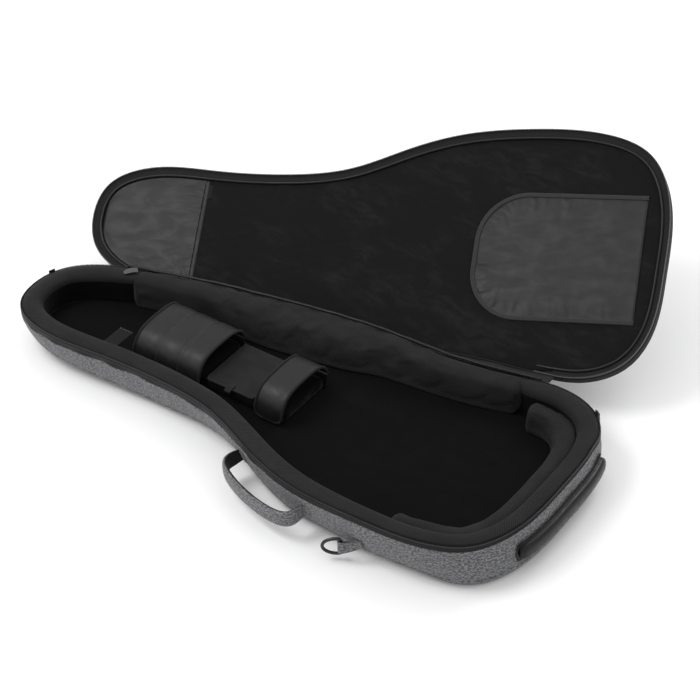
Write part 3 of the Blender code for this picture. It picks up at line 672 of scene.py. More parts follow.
def velour_look(name, tone, marks=1.0):
    """Short-pile velour: matt and almost black, with paler strokes where the pile is brushed, their paleness
    painted in as sheen.
    """
    look = Look(name, 0.95, sheen=0.10, sheen_roughness=0.35, specular=0.08)
    patches = look.noise(look.place((7, 16, 12)), detail=4, roughness=0.62, distortion=0.6)
    strokes = look.noise(look.place((26, 70, 40)), detail=3, roughness=0.6, distortion=0.9)
    pile = look.noise(look.place(1700), detail=1)
    # Painted sheen: the brushed pile patches are drawn paler in the colour, in place of the sheen they catch.
    painted_sheen_strokes = look.math("MULTIPLY", look.remap(patches, 0.42, 0.62), look.remap(strokes, 0.35, 0.7))
    painted_sheen_strokes = look.math("MULTIPLY", painted_sheen_strokes, 0.8 * marks)
    body = look.mix(painted_sheen_strokes, grey(tone * 0.72, 0.04), grey(tone * 1.7, 0.04))
    look.colour(look.mix(look.remap(pile, 0.35, 0.7, 0.0, 0.35), body, grey(tone * 2.1, 0.04)))
    look.bump(patches, 2.2, 0.35 * marks)
    look.bump(strokes, 0.8, 0.35 * marks)
    look.bump(pile, 0.35, 0.5)
    return look.material


def nylon_look(name, tone, gloss):
    """Satin-faced nylon: fine crossed threads, soft folds and a broad highlight painted into the colour as
    paler patches.
    """
    look = Look(name, gloss, sheen=0.0, sheen_roughness=0.3, specular=0.30)
    threads = look.crossed(1400)
    folds = look.noise(look.weave(26, 55), detail=3, roughness=0.55, distortion=0.5)
    shade = look.noise(look.weave(9, 14), detail=2)
    body = look.mix(look.remap(threads, 0.1, 0.8), grey(tone * 0.8, 0.04), grey(tone * 1.15, 0.05))
    # Painted highlight: broad paler patches mixed into the colour.
    look.colour(look.mix(look.remap(shade, 0.3, 0.75, 0.0, 0.35), body, grey(tone * 1.3, 0.05)))
    look.rough(look.remap(folds, 0.3, 0.7, gloss - 0.06, gloss + 0.1))
    look.bump(threads, 0.12, 0.5)
    look.bump(folds, 0.8, 0.16)
    return look.material


def webbing_look(name, tone, pitch=1.3, roughness=0.72):
    """Woven tape with ribs across its length."""
    look = Look(name, roughness, sheen=0.04, specular=0.2)
    ribs = look.wave(look.weave(1000 / pitch, 1000 / pitch), "X")
    fuzz = look.noise(look.weave(1200, 1200), detail=2)
    body = look.mix(look.remap(ribs, 0.1, 0.9), grey(tone * 0.6, 0.04), grey(tone * 1.3, 0.04))
    look.colour(look.mix(look.remap(fuzz, 0.45, 0.75, 0.0, 0.35), body, grey(tone * 1.9, 0.04)))
    look.bump(ribs, 0.3, 0.7)
    look.bump(fuzz, 0.1, 0.4)
    return look.material


def rubber_look():
    look = Look("bumper_rubber", 0.3, specular=0.28)
    scuffs = look.noise(look.place(90), detail=4, roughness=0.6)
    grain = look.noise(look.place(1600), detail=1)
    look.colour(look.mix(look.remap(scuffs, 0.5, 0.75, 0.0, 0.4), grey(0.004, 0.03), grey(0.012, 0.02)))
    look.rough(look.remap(scuffs, 0.35, 0.7, 0.26, 0.42))
    look.bump(grain, 0.05, 0.5)
    return look.material


def plastic_look(name, tone, roughness):
    look = Look(name, roughness, specular=0.5)
    grain = look.noise(look.place(900), detail=2)
    look.colour(look.mix(look.remap(grain, 0.35, 0.7), grey(tone * 0.8), grey(tone * 1.3)))
    look.rough(look.remap(grain, 0.3, 0.7, roughness - 0.05, roughness + 0.08))
    look.bump(grain, 0.04, 0.4)
    return look.material


def metal_look():
    look = Look("black_enamel", 0.3, coat=0.25, specular=0.35)
    scuffs = look.noise(look.place(240), detail=3)
    worn = look.remap(scuffs, 0.62, 0.74, 0.0, 0.5)
    look.colour(look.mix(worn, grey(0.005, 0.04), grey(0.06)))
    look.rough(look.remap(scuffs, 0.3, 0.7, 0.2, 0.36))
    return look.material


def thread_look(name, tone):
    look = Look(name, 0.7, sheen=0.2)
    twist = look.noise(look.place(2500), detail=1)
    look.colour(look.mix(look.remap(twist, 0.3, 0.7), grey(tone * 0.75), grey(tone * 1.25)))
    return look.material


HEATHER = heather_look()
TWILL = twill_look()
VELOUR = velour_look("lid_velour", 0.0085)
PLUSH = velour_look("floor_plush", 0.0022, marks=0.6)
NYLON = nylon_look("satin_nylon", 0.0132, 0.47)
STRAP_NYLON = nylon_look("strap_nylon", 0.010, 0.42)
POUCH_NYLON = nylon_look("pouch_nylon", 0.0030, 0.68)
PIPING = nylon_look("piping_satin", 0.0065, 0.4)
TAPE = webbing_look("zipper_tape", 0.009, 0.9, 0.6)
GROSGRAIN = webbing_look("grosgrain_binding", 0.024, 1.6, 0.66)
BINDING = webbing_look("strap_binding", 0.007, 1.4, 0.7)
GREY_WEB = webbing_look("grey_webbing", 0.075, 1.5, 0.8)
GUSSET = webbing_look("gusset_cloth", 0.010, 1.1, 0.75)
RUBBER = rubber_look()
COIL = plastic_look("zipper_coil_plastic", 0.02, 0.32)
METAL = metal_look()
DARK_THREAD = thread_look("dark_thread", 0.03)
GREY_THREAD = thread_look("grey_thread", 0.20)
LABEL = webbing_look("blank_label", 0.006, 0.8, 0.75)

# ------------------------------------------------------------------ shared heights and widths

SHELL_TOP = 72
FLOOR_TOP = 31
PAD_TOP = 84
RIM_WIDTH = 36
FAR_RIM_WIDTH = 18
PAD_INNER = 36.5
FAR_PAD_X = (-385, 330)
BOLSTER_WIDTH = 38
BOLSTER_TOP = 71
BOLSTER_NEAR_X = 325
BOLSTER_FAR_X = 350
LID_SIDE_TOP = 103
LID_TOP = 112
LINER_Z = 90
POCKET_BACK = 89.7
HEAD_RISE = 15
LID_DOWN = LID_TURN @ np.array([0, 0, -1.0])  # out of the lining, with the lid open


def rise_at(x):
    """How far the underside lifts off the ground towards the head end."""
    return HEAD_RISE * smooth_step(x, -150, -500)


def between(rise, fall):
    """1 between these two stretches of X and 0 outside them, for every station."""
    return smooth_step(X, *rise) * (1 - smooth_step(X, *fall))


# Each of these has one value for every station round the outline: a share from 0 to 1, or a length.
X = OUTLINE[:, 0]
FACING_X, FACING_Y = outward(OUTLINE).T
NEARNESS = np.clip(-FACING_Y, 0, 1)
WAIST = np.exp(-((X + 30) / 130) ** 2)
ENDNESS = np.clip(FACING_X, 0, 1) * smooth_step(X, 380, 470)
HEADNESS = np.clip(-FACING_X, 0, 1) * smooth_step(X, -400, -500)
NEAR_BOUT = 9 * (1 - smooth_step(X, 400, 519)) + 7 * between((120, 220), (370, 450))
RISE = rise_at(X)
TUCK = 2 + (NEAR_BOUT + 13 * WAIST) * NEARNESS - 8 * ENDNESS + 9 * HEADNESS  # wall's foot, in from its top
FARNESS = smooth_step(OUTLINE[:, 1] - 0.09 * X, 60, 110)
PAD_START, PAD_END = FAR_PAD_X
UNDER_PAD = FARNESS * between((PAD_START - 25, PAD_START + 45), (PAD_END - 45, PAD_END + 25))
RIM_INNER = RIM_WIDTH - (RIM_WIDTH - FAR_RIM_WIDTH) * UNDER_PAD
PAD_FALL = 1 - 0.75 * smooth_step(X, 0, 100) - 0.25 * smooth_step(X, 240, 325)
PAD_WEDGE = 20 * smooth_step(X, -250, -90) * PAD_FALL  # how far the pad's foot reaches inwards
HINGE_BOW = between((-370, -200), (20, 240))
NEAR_BODY = (1 - FARNESS) * smooth_step(X, 130, 330)
BLACK_BAND = 3 + NEARNESS * 3 - 3.5 * NEAR_BODY  # height of dark tape that shows above the fabric
END_LIFT = 4.5 * NEAR_BODY  # how much higher the wall stands round the body's near side and end
LEAN = 4 * NEAR_BODY * np.clip(NEARNESS + ENDNESS, 0, 1)  # how far the top is pressed inwards there
HINGE_SIDE = FARNESS * between((-345, -300), (300, 375))
NECK_SLACK = NEARNESS * between((-480, -420), (60, 160))


def station_at(x, far):
    """The station of the far or the near side that lies nearest to this X."""
    first = HALF if far else 0
    return first + int(np.argmin(np.abs(X[first:first + HALF] - x)))


def stations_between(start, end):
    return np.arange(start, end + 1) % COUNT


def from_ends(count):
    """How many places each of these lies from the nearer end."""
    return np.minimum(np.arange(count), np.arange(count)[::-1])


def strip_object(name, corners, stations, end_round, look, per_span=4):
    """Closed section carried along some stations, shrinking to rounded ends."""
    profile = rounded_profile(corners, per_span)
    rings = np.array([ring_points(inset, height)[stations] for inset, height in profile])
    middle = rings.mean(axis=0)
    part = np.clip(from_ends(len(stations)) * STEP / end_round, 0, 1)
    scale = np.maximum(np.sqrt(np.clip(1 - (1 - part) ** 2, 0, 1)), 0.05)
    return grid_object(name, middle + (rings - middle) * scale[:, None], look, wrap_v=True, caps=True)


def paint_rows(made, columns, rows, first, last, look):
    """Give the section rows from first to last a second material."""
    made.data.materials.append(look)
    for face in made.data.polygons:
        row = face.index // columns
        if row < rows and first <= row < last:
            face.material_index = 1


# ------------------------------------------------------------------ base tray

def build_tray():
    slack = ripple(9, 34, 1)
    pucker = ripple(40, 110, 2)
    gather = NECK_SLACK * ripple(28, 44, 4)
    soft = 0.7 * slack + 0.35 * pucker
    top = SHELL_TOP - 0.6 - BLACK_BAND + END_LIFT + NECK_SLACK * (1.5 * ripple(28, 44, 3) - 0.8)
    wall = [
        (TUCK + 15, RISE + 0.2),
        (TUCK + 10, RISE + 0.9),
        (TUCK + 6, RISE + 3.6),
        (TUCK + 3.2 + 0.3 * soft, RISE + 8.5),
        (0.82 * TUCK + 1.6 + 0.7 * soft, 0.92 * RISE + 14.5),
        (0.6 * TUCK + 0.2 + soft, 0.8 * RISE + 23),
        (0.42 * TUCK - 0.7 + 1.2 * soft, 0.55 * RISE + 35),
        (0.25 * TUCK - 1.0 + 1.2 * soft + NECK_SLACK * 0.8 * pucker, 0.3 * RISE + 47),
        (0.1 * TUCK - 0.7 + soft + NECK_SLACK * pucker + 0.8 * gather + 0.4 * LEAN, 0.12 * RISE + 55),
        (-0.1 + 0.5 * soft + NECK_SLACK * 0.6 * pucker + 1.5 * gather + 0.8 * LEAN, top - 4.5),
        (-0.5 + 0.3 * NECK_SLACK * pucker + 1.7 * gather + LEAN, top - 1.6),
        (-0.4 + 1.7 * gather + LEAN, top - 0.3),
        (0.3 + 1.7 * gather + LEAN, top + 0.2),
        (0.9 + 1.6 * gather + LEAN, top - 0.6),
        (1.4 + 1.4 * gather + 0.9 * LEAN, top - 4),
        (0.1 * TUCK + 1.4 + soft, 0.12 * RISE + 54),
        (0.25 * TUCK + 1.4 + soft, 0.3 * RISE + 47),
        (0.6 * TUCK + 2.4 + soft, 0.8 * RISE + 23),
        (TUCK + 5, RISE + 9.5),
        (TUCK + 15, RISE + 2.2),
    ]
    shell = ring_object("base_shell_fabric", wall, HEATHER)
    into_place(shell, "base", "heather", "base_shell")

    plan = panel_points(TUCK + 14.6, across=24)
    rise = rise_at(plan[:, :, 0])
    under = closed_panel("base_underside", plan, rise + 0.2, rise + 2.2, HEATHER)
    into_place(under, "base", "heather")

    seam_in = 0.82 * TUCK + 2.1 + 0.7 * soft
    seam_up = 0.92 * RISE + 14.5
    piping = ring_object("base_bottom_piping_cord", round_section(seam_in, seam_up, 1.5, 10), HEATHER)
    into_place(piping, "base", "heather", "base_bottom_piping")

    lap = 1.6 * gather + LEAN
    up = END_LIFT
    tape = [
        (0.55 + lap, top - 2.6), (0.45 + lap, top - 0.8), (0.15 + 0.9 * lap, top + 1.4),
        (0.0 + 0.7 * lap, top + 2.6), (0.1 + 0.8 * LEAN, 0.5 * (top + 76 + up)), (-0.4 + LEAN, 74.2 + up),
        (-0.7 + LEAN, 75.2 + up), (-0.3 + LEAN, 76.2 + up), (0.2 + LEAN, 76.9 + up), (0.2 + LEAN, 78.4 + up),
        (1.0 + LEAN, 78.6 + up), (1.5 + LEAN, 76.5 + up), (1.9 + LEAN, top + 3), (1.25 + lap, top - 2.4),
    ]
    tape = ring_object("base_zipper_tape_band", tape, TAPE)
    into_place(tape, "base", "webbing", "base_zipper_tape")
    coil = coil_object("base_zipper_teeth", 0.5 + LEAN, 79.0 + END_LIFT, COIL)
    into_place(coil, "base", "board", "base_zipper_coil")

    line = ring_points(-0.75 + lap, top - 3.4)
    normal = at_height(outward(OUTLINE), 0)
    sew("base_top_stitching", np.vstack([line, line[:1]]), np.vstack([normal, normal[:1]]),
        GREY_THREAD, "base", "heather", pitch=4.6, length=3.2, width=0.6)


def build_rim():
    """Padded rim; its inner wall below the roll is lined with plush."""
    wave = ripple(8, 30, 5)
    dimple = ripple(50, 130, 6)
    lowered = 6.5 * UNDER_PAD - 0.85 * END_LIFT
    corners = [
        (TUCK + 7, 31.2),
        (0.25 * TUCK + 4, 0.3 * RISE + 49),
        (3.0 + 0.8 * LEAN, 68),
        (2.1 + LEAN, 75.5 + 0.8 * END_LIFT),
        (3.6 + LEAN + 0.3 * dimple, 80 - 0.4 * lowered + 0.5 * END_LIFT),
        (0.22 * RIM_INNER + 1.2, 83.2 + 0.3 * wave + 0.3 * dimple - 0.8 * lowered),
        (0.42 * RIM_INNER + 1, 84.9 + 0.5 * wave - lowered),
        (0.66 * RIM_INNER, 84.9 + 0.5 * wave + 0.3 * dimple - lowered),
        (0.87 * RIM_INNER, 81.6 + 0.3 * wave - lowered),
        (RIM_INNER - 0.3 + 0.5 * wave, 75 - lowered),
        (RIM_INNER + 0.7 * wave, 66),
        (RIM_INNER + 0.3 + 0.7 * wave, 55),
        (RIM_INNER + 0.6 + 0.4 * wave, 42),
        (RIM_INNER, 31.2),
    ]
    profile = rounded_profile(corners, per_span=4)
    rim = ring_object("base_rim_pad", profile, TWILL)
    paint_rows(rim, COUNT, len(profile), 4 * 9 + 2, 4 * 13, PLUSH)
    into_place(rim, "base", "twill", "base_rim_padding", padded=0.7)

    stations = stations_between(station_at(352, True), station_at(-402, True))
    path = ring_points(3.4 - 4 * HINGE_BOW, 85.2 + 6 * HINGE_BOW + 0.5 * ripple(20, 60, 10))[stations]
    creased = 1 + 0.10 * ripple(170, 420, 8) + 0.06 * ripple(60, 130, 9)
    cord = tube_object("hinge_piping_cord", path, 2.4 * creased[stations], PIPING, sides=14)
    into_place(cord, "base", "nylon")


def build_side_pads():
    stations = stations_between(station_at(FAR_PAD_X[1], True), station_at(FAR_PAD_X[0], True))
    wave = ripple(10, 40, 12)
    outer = 5.5 - 3 * HINGE_BOW
    lift = 6 * HINGE_BOW
    corners = [
        (outer, 40),
        (outer, 68),
        (outer - 0.6, 79.5 + lift),
        (outer + 3.2, 83.6 + lift + 0.3 * wave),
        (16, 85.4 + 0.9 * lift + 0.5 * wave),
        (26, 84.4 + 0.6 * lift + 0.5 * wave),
        (PAD_INNER - 1 + 0.25 * PAD_WEDGE, 79 + 0.25 * lift + 0.5 * wave),
        (PAD_INNER + 2.5 + 0.5 * PAD_WEDGE + 0.5 * wave, 69),
        (PAD_INNER + 4.6 + 0.75 * PAD_WEDGE + 0.8 * wave, 56),
        (PAD_INNER + 5.8 + 0.95 * PAD_WEDGE + 0.6 * wave, 42),
        (PAD_INNER + 6 + PAD_WEDGE, 31.3),
        (22, 31.3),
    ]
    pad = strip_object("far_side_cushion", corners, stations, 17, TWILL)
    puff(pad, pressure=1.6, cap=2.2, low=45, spare=0.03)
    into_place(pad, "base", "twill", "far_side_pad", padded=0.7)

    stations = stations_between(station_at(BOLSTER_NEAR_X, False), station_at(BOLSTER_FAR_X, True))
    inner = RIM_WIDTH + 0.9
    swell = ripple(12, 44, 14)
    corners = [
        (inner, 31.3),
        (inner, 48),
        (inner + 0.6, 60),
        (inner + 4.5, 67.5 + 0.4 * swell),
        (inner + 12, BOLSTER_TOP + 0.4 * swell),
        (inner + 20, BOLSTER_TOP - 0.2 + 0.4 * swell),
        (inner + 29, 67 + 0.4 * swell),
        (inner + 35 + 0.5 * swell, 59),
        (inner + BOLSTER_WIDTH - 1 + 0.6 * swell, 47),
        (inner + BOLSTER_WIDTH - 0.6, 31.3),
    ]
    bolster = strip_object("end_bolster_cushion", corners, stations, 15, TWILL)
    puff(bolster, pressure=1.6, cap=1.6, low=40, spare=0.03)
    into_place(bolster, "base", "twill", "end_bolster", padded=0.8)


def build_floor():
    plan = panel_points(TUCK + 8, across=60)
    x, y = plan[:, :, 0], plan[:, :, 1]
    soft = 0.35 * field(x, y, 90, 20) + 0.18 * field(x, y, 26, 21)
    floor = closed_panel("base_floor_lining", plan, FLOOR_TOP - 0.4 + soft, FLOOR_TOP - 3, PLUSH)
    into_place(floor, "base", "velour", "base_floor_pad", "base_stiffener_board")


def build_bumper():
    stations = np.array([i for i in range(COUNT) if X[i] > 400 and -118 < OUTLINE[i, 1] < 134])
    fuller = 3.2 * ENDNESS
    section = [(0.6, 27), (-2.0, 26.6), (-7.4, 28.0), (-10.8, 32), (-12.0, 39.0), (-11.6, 46), (-9.2, 51),
               (-5.4, 53.4), (-2.0, 53.8), (0.6, 53.6)]
    corners = [(inset - fuller, height) for inset, height in section]
    bar = strip_object("end_bumper_bar", corners, stations, 13, RUBBER)
    into_place(bar, "base", "rubber", "end_bumper")
    section = [(1.4, 24.6), (-0.9, 24.4), (-1.5, 25.4), (-1.5, 55.0), (-0.9, 56.0), (1.0, 55.8)]
    lips = [(inset - fuller, height) for inset, height in section]
    lip_stations = stations_between(stations[0] - 1, stations[-1] + 1)
    lip = strip_object("end_bumper_flange", lips, lip_stations, 9, RUBBER, per_span=2)
    into_place(lip, "base", "rubber")


# ------------------------------------------------------------------ inside the tray

REST_Y = (-66, 46)
REST_TOP = 56
WIDE_STRAP_X = (-277, -135)
NARROW_STRAP_X = (-22, 36)
BOX_X = (-129, -28)
STRAP_PATH = [(51, 58.6), (47, 70), (37, 79), (20, 83.8), (-8, 85), (-34, 83.4), (-52, 78),
              (-65, 66), (-71, 52), (-73, 36)]
STRAP_ROOT_PATH = [(48.4, 33), (48.4, 48), (49.6, 57)]
STRAP_THICKNESS = 3.5


def cushion_block(name, low, high, radius=9, cuts=13):
    """Soft rectangular block of plush with rounded edges, made as a fine box."""
    shape = bmesh.new()
    low, high = np.array(low, float), np.array(high, float)
    bmesh.ops.create_cube(shape, size=1)
    bmesh.ops.subdivide_edges(shape, edges=shape.edges, cuts=cuts, use_grid_fill=True)
    for vert in shape.verts:
        place = low + (np.array(vert.co) + 0.5) * (high - low)
        core = np.clip(place, low + radius, high - radius)
        away = place - core
        length = np.linalg.norm(away)
        if length > 1e-6:
            place = core + away / length * min(length, radius)
        vert.co = Vector(place * MM)
    return block_object(name, shape, PLUSH)


def build_neck_rests():
    for name, span in (("neck_rest_head", WIDE_STRAP_X), ("neck_rest_body", NARROW_STRAP_X)):
        low = (span[0] + 5, REST_Y[0] + 1, FLOOR_TOP + 0.3)
        high = (span[1] - 3, REST_Y[1] - 1, REST_TOP - 1)
        block = cushion_block(name + "_cushion", low, high)
        puff(block, pressure=2.0, cap=2.0, low=34, spare=0.02)
        into_place(block, "base", "velour", name, padded=0.8)


def build_strap(node, body, span, panels):
    count, across = 72, 64
    line = along_length(smooth_path(STRAP_PATH), count, endpoint=True)
    normal = right_of(np.gradient(line, axis=0))
    length = travel(line)[-1]
    to_end = np.linspace(length, 0, count)
    corner = 13
    short = np.clip(corner - to_end, 0, corner)
    bite = corner - np.sqrt(corner ** 2 - short ** 2)
    share = np.linspace(0, 1, across)
    in_panel = (share * panels) % 1
    crown = np.clip(1 - np.abs(2 * in_panel - 1) ** 5, 0, 1)
    crown[[0, -1]] = 0
    middle = sum(span) / 2
    half = (span[1] - span[0]) / 2 - 2.2
    across_x = middle + (2 * share - 1)[:, None] * (half - bite)[None, :]
    lie = np.linspace(0, length, count)[None, :]
    rumple = 0.30 * field(across_x, 0.4 * lie, 26, 31) + 0.10 * field(across_x, lie, 9, 32)
    rows = []
    for top in (True, False):
        order = range(across) if top else range(across - 1, -1, -1)
        for k in order:
            lift = np.full(count, STRAP_THICKNESS * 0.30 - 0.4 * crown[k])
            if top:
                lift = STRAP_THICKNESS * 0.42 + 1.9 * crown[k] + rumple[k] * crown[k]
            rows.append(np.column_stack([across_x[k], line + normal * lift[:, None]]))
    made = grid_object(node + "_panel", rows, STRAP_NYLON, wrap_v=True, caps=True)
    into_place(made, body, "nylon", node, padded=0.4)

    core = line + normal * STRAP_THICKNESS * 0.5
    left = np.column_stack([middle - half + bite, core])
    right = np.column_stack([middle + half - bite, core])
    path = along_length(np.vstack([left, right[::-1]]), 150, endpoint=True)
    near = path[:, 2] < 45
    path[:, 2] = np.where(near, np.maximum(path[:, 2], 36.5), path[:, 2])
    band = tube_object(node + "_binding", path, 2.5, BINDING, sides=12, up=(0.0, 0.12, 1.0))
    into_place(band, body, "webbing")

    for k in range(1, panels):
        x = middle + (2 * k / panels - 1) * half
        seam = line[3:-3] + normal[3:-3] * STRAP_THICKNESS * 0.46
        path = np.column_stack([np.full(len(seam), x), seam])
        out = np.column_stack([np.zeros(len(seam)), normal[3:-3]])
        sew(f"{node}_quilting_{k}", path, out, DARK_THREAD, body, "webbing", pitch=3.8, length=3.0,
            width=0.7)

    root = smooth_path(STRAP_ROOT_PATH, 8)
    out = right_of(np.gradient(root, axis=0))
    rows = [np.column_stack([np.full(len(root), x), root + out * lift])
            for x, lift in ((span[0] + 1, 0.4), (span[0] + 1, 3.1), (span[1] - 1, 3.1), (span[1] - 1, 0.4))]
    stub = grid_object(node + "_root_web", rows, STRAP_NYLON, wrap_v=True, caps=True, smooth=40)
    into_place(stub, "base", "nylon", node + "_root")

    low = (span[0] + 11, REST_Y[0] - 2.0, FLOOR_TOP + 5)
    high = (span[1] - 11, REST_Y[0] - 0.2, REST_TOP - 7)
    patch = cushion_block(node + "_landing_patch", low, high, radius=0.8, cuts=7)
    into_place(patch, "base", "webbing", node + "_landing")


def build_accessory_box():
    """Soft open pouch between the neck rests, with a bound rim."""
    floor, top = FLOOR_TOP + 0.3, REST_TOP - 4
    near, far = REST_Y[0] + 2.5, REST_Y[1] - 2.5
    x0, x1 = BOX_X[0] + 0.5, BOX_X[1] - 0.5
    radius, per_side = 6, 26

    def loop(shrink):
        corners = [(x0 + shrink, near + shrink), (x1 - shrink, near + shrink),
                   (x1 - shrink, far - shrink), (x0 + shrink, far - shrink)]
        edge = max(radius - shrink, 1.5)
        out = []
        for k in range(4):
            here, after = np.array(corners[k]), np.array(corners[(k + 1) % 4])
            way = (after - here) / np.linalg.norm(after - here)
            start, end = here + way * edge, after - way * edge
            out += [start + (end - start) * s for s in np.linspace(0, 1, per_side)]
            turn = np.array([-way[1], way[0]])
            for a in np.linspace(0, math.pi / 2, 6)[1:-1]:
                out.append(end + turn * edge + edge * (way * math.sin(a) - turn * math.cos(a)))
        return np.array(out)

    count = len(loop(0))
    phase = np.linspace(0, TAU, count, endpoint=False)
    rows = []
    for shrink, z in ((10, floor + 0.2), (1.5, floor + 0.4), (0, floor + 3), (0, floor + 10), (0, top - 1),
                      (0.6, top), (2.2, top), (2.8, top - 1), (3.0, floor + 10), (3.2, floor + 4),
                      (5, floor + 2.2), (14, floor + 2)):
        flat = loop(shrink)
        if floor + 2 < z < top - 2:
            out = unit(flat - flat.mean(axis=0))
            flat = flat + out * (0.5 * np.sin(7 * phase + z) + 0.3 * np.sin(23 * phase))[:, None]
        rows.append(at_height(flat, z))
    pouch = grid_object("accessory_pouch", rows, POUCH_NYLON, wrap_u=True, smooth=60)
    base_plan = plan_grid(np.linspace(x0 + 9, x1 - 9, 14), np.linspace(near + 9, far - 9, 14))
    bottom = closed_panel("accessory_pouch_floor", base_plan, floor + 2.1, floor + 0.1, PLUSH)
    into_place(pouch, "base", "nylon", "accessory_box")
    into_place(bottom, "base", "velour")
    trim = tube_object("accessory_pouch_binding", at_height(loop(1.5), top - 0.1), 1.7, BINDING, closed=True)
    into_place(trim, "base", "webbing")

    cells_x, cells_y = 34, 36
    grid = plan_grid(np.linspace(x0 + 1.5, x1 - 1.5, cells_x), np.linspace(near - 1.5, far, cells_y))
    x, y = grid[:, :, 0], grid[:, :, 1]
    crown = np.outer(*[np.sin(math.pi * np.linspace(0, 1, cells)) for cells in (cells_x, cells_y)])
    lift = 0.9 * crown + 0.35 * field(x, y, 14, 41) * crown
    flap = closed_panel("accessory_flap_panel", grid, REST_TOP - 1.4 + lift, REST_TOP - 3.2 + 0.7 * lift,
                        POUCH_NYLON)
    into_place(flap, "accessory_flap", "nylon", "accessory_flap")
    corners = [(x0 + 1.5, far), (x0 + 1.5, near + 5), (x0 + 6.5, near - 1), (x1 - 6.5, near - 1),
               (x1 - 1.5, near + 5), (x1 - 1.5, far)]
    edge = along_length(at_height(corners, REST_TOP - 2.3), 90, endpoint=True)
    trim = tube_object("accessory_flap_binding", edge, 1.6, BINDING)
    into_place(trim, "accessory_flap", "webbing")
    middle = (x0 + x1) / 2
    tab = [(middle, near + dy, REST_TOP + dz) for dy, dz in ((8, -0.6), (2, 0.4), (-4, -0.4), (-9, -3))]
    line = smooth_path(tab, 6)
    rows = [line + np.array([dx, 0, dz]) for dx, dz in ((-6, -0.5), (-6, 0.6), (6, 0.6), (6, -0.5))]
    pull = grid_object("accessory_flap_pull", rows, BINDING, wrap_v=True, caps=True, smooth=40)
    into_place(pull, "accessory_flap", "webbing")
    seam = [(a, far - 3, REST_TOP - 1.2) for a in np.linspace(x0 + 4, x1 - 4, 40)]
    sew("accessory_flap_stitching", seam, (0, 0, 1), DARK_THREAD, "accessory_flap", "webbing")


def build_labels():
    floor = FLOOR_TOP + 0.3
    grid = plan_grid(np.linspace(-351, -323, 12), np.linspace(-66, -18, 18))
    curl = 0.5 * np.linspace(-1, 1, 18) ** 4
    label = closed_panel("care_label_blank", grid, floor + 0.75 + curl, floor + 0.15 + curl, LABEL)
    into_place(label, "base", "label", "care_label")
    seam = [(x, -20.5, floor + 1.0) for x in np.linspace(-349, -325, 12)]
    sew("care_label_stitching", seam, (0, 0, 1), GREY_THREAD, "base", "label")
    line = smooth_path([(-380, 70, PAD_TOP + 2.2), (-386, 64, PAD_TOP + 3.2), (-392, 57, PAD_TOP + 2.6),
                        (-396, 51, PAD_TOP + 1.4)], 8)
    side = np.array([0.72, -0.69, 0])
    reach = np.linspace(0, 1, len(line))
    wide = 6.3 * np.sqrt(np.clip(1 - np.clip((reach - 0.62) / 0.42, 0, 1) ** 2, 0.02, 1))[:, None]
    rows = [line + side * wide * across + np.array([0, 0, dz])
            for across, dz in ((-1, -0.5), (-1, 0.5), (-0.5, 0.75), (0.5, 0.75), (1, 0.5), (1, -0.5))]
    loop = grid_object("head_end_loop_web", rows, GREY_WEB, wrap_v=True, caps=True, smooth=40)
    into_place(loop, "base", "webbing", "head_end_loop")


# ------------------------------------------------------------------ handle, ring and sliders

HANDLE_ENDS_X = (27, 187)
HANDLE_STAND_OFF = 5.5
HANDLE_REACH = 38
HANDLE_Z = 43
HANDLE_HEIGHT = 30
HANDLE_DROOP = math.radians(4)


def near_side_at(x):
    """Place on the near side at this X, and the direction out of the wall there."""
    point = np.array([x, np.interp(x, X[:HALF], OUTLINE[:HALF, 1])])
    out = np.array([np.interp(x, X[:HALF], column) for column in outward(OUTLINE)[:HALF].T])
    return point, out / np.linalg.norm(out)


def handle_path(count):
    """Middle line of the handle seen from above, in the frame from its first end to its last."""
    places = [near_side_at(x) for x in HANDLE_ENDS_X]
    start, end = [point + out * HANDLE_STAND_OFF for point, out in places]
    span = np.linalg.norm(end - start)
    along = (end - start) / span
    away = np.array([along[1], -along[0]])
    angle = np.linspace(0, math.pi, 400)
    reach = HANDLE_REACH * np.sin(angle).clip(0) ** 0.62  # squarer than an ellipse
    slide = span / 2 * (1 - np.cos(angle)) - 5 * np.sin(2 * angle)
    sunk = HANDLE_STAND_OFF + 9
    slide = np.concatenate([[slide[0] + 1.5], slide, [slide[-1] - 1.5]])
    reach = np.concatenate([[-sunk], reach, [-sunk]])
    line = along_length(np.column_stack([slide, reach]), count, endpoint=True)
    return line, start, along, away, places


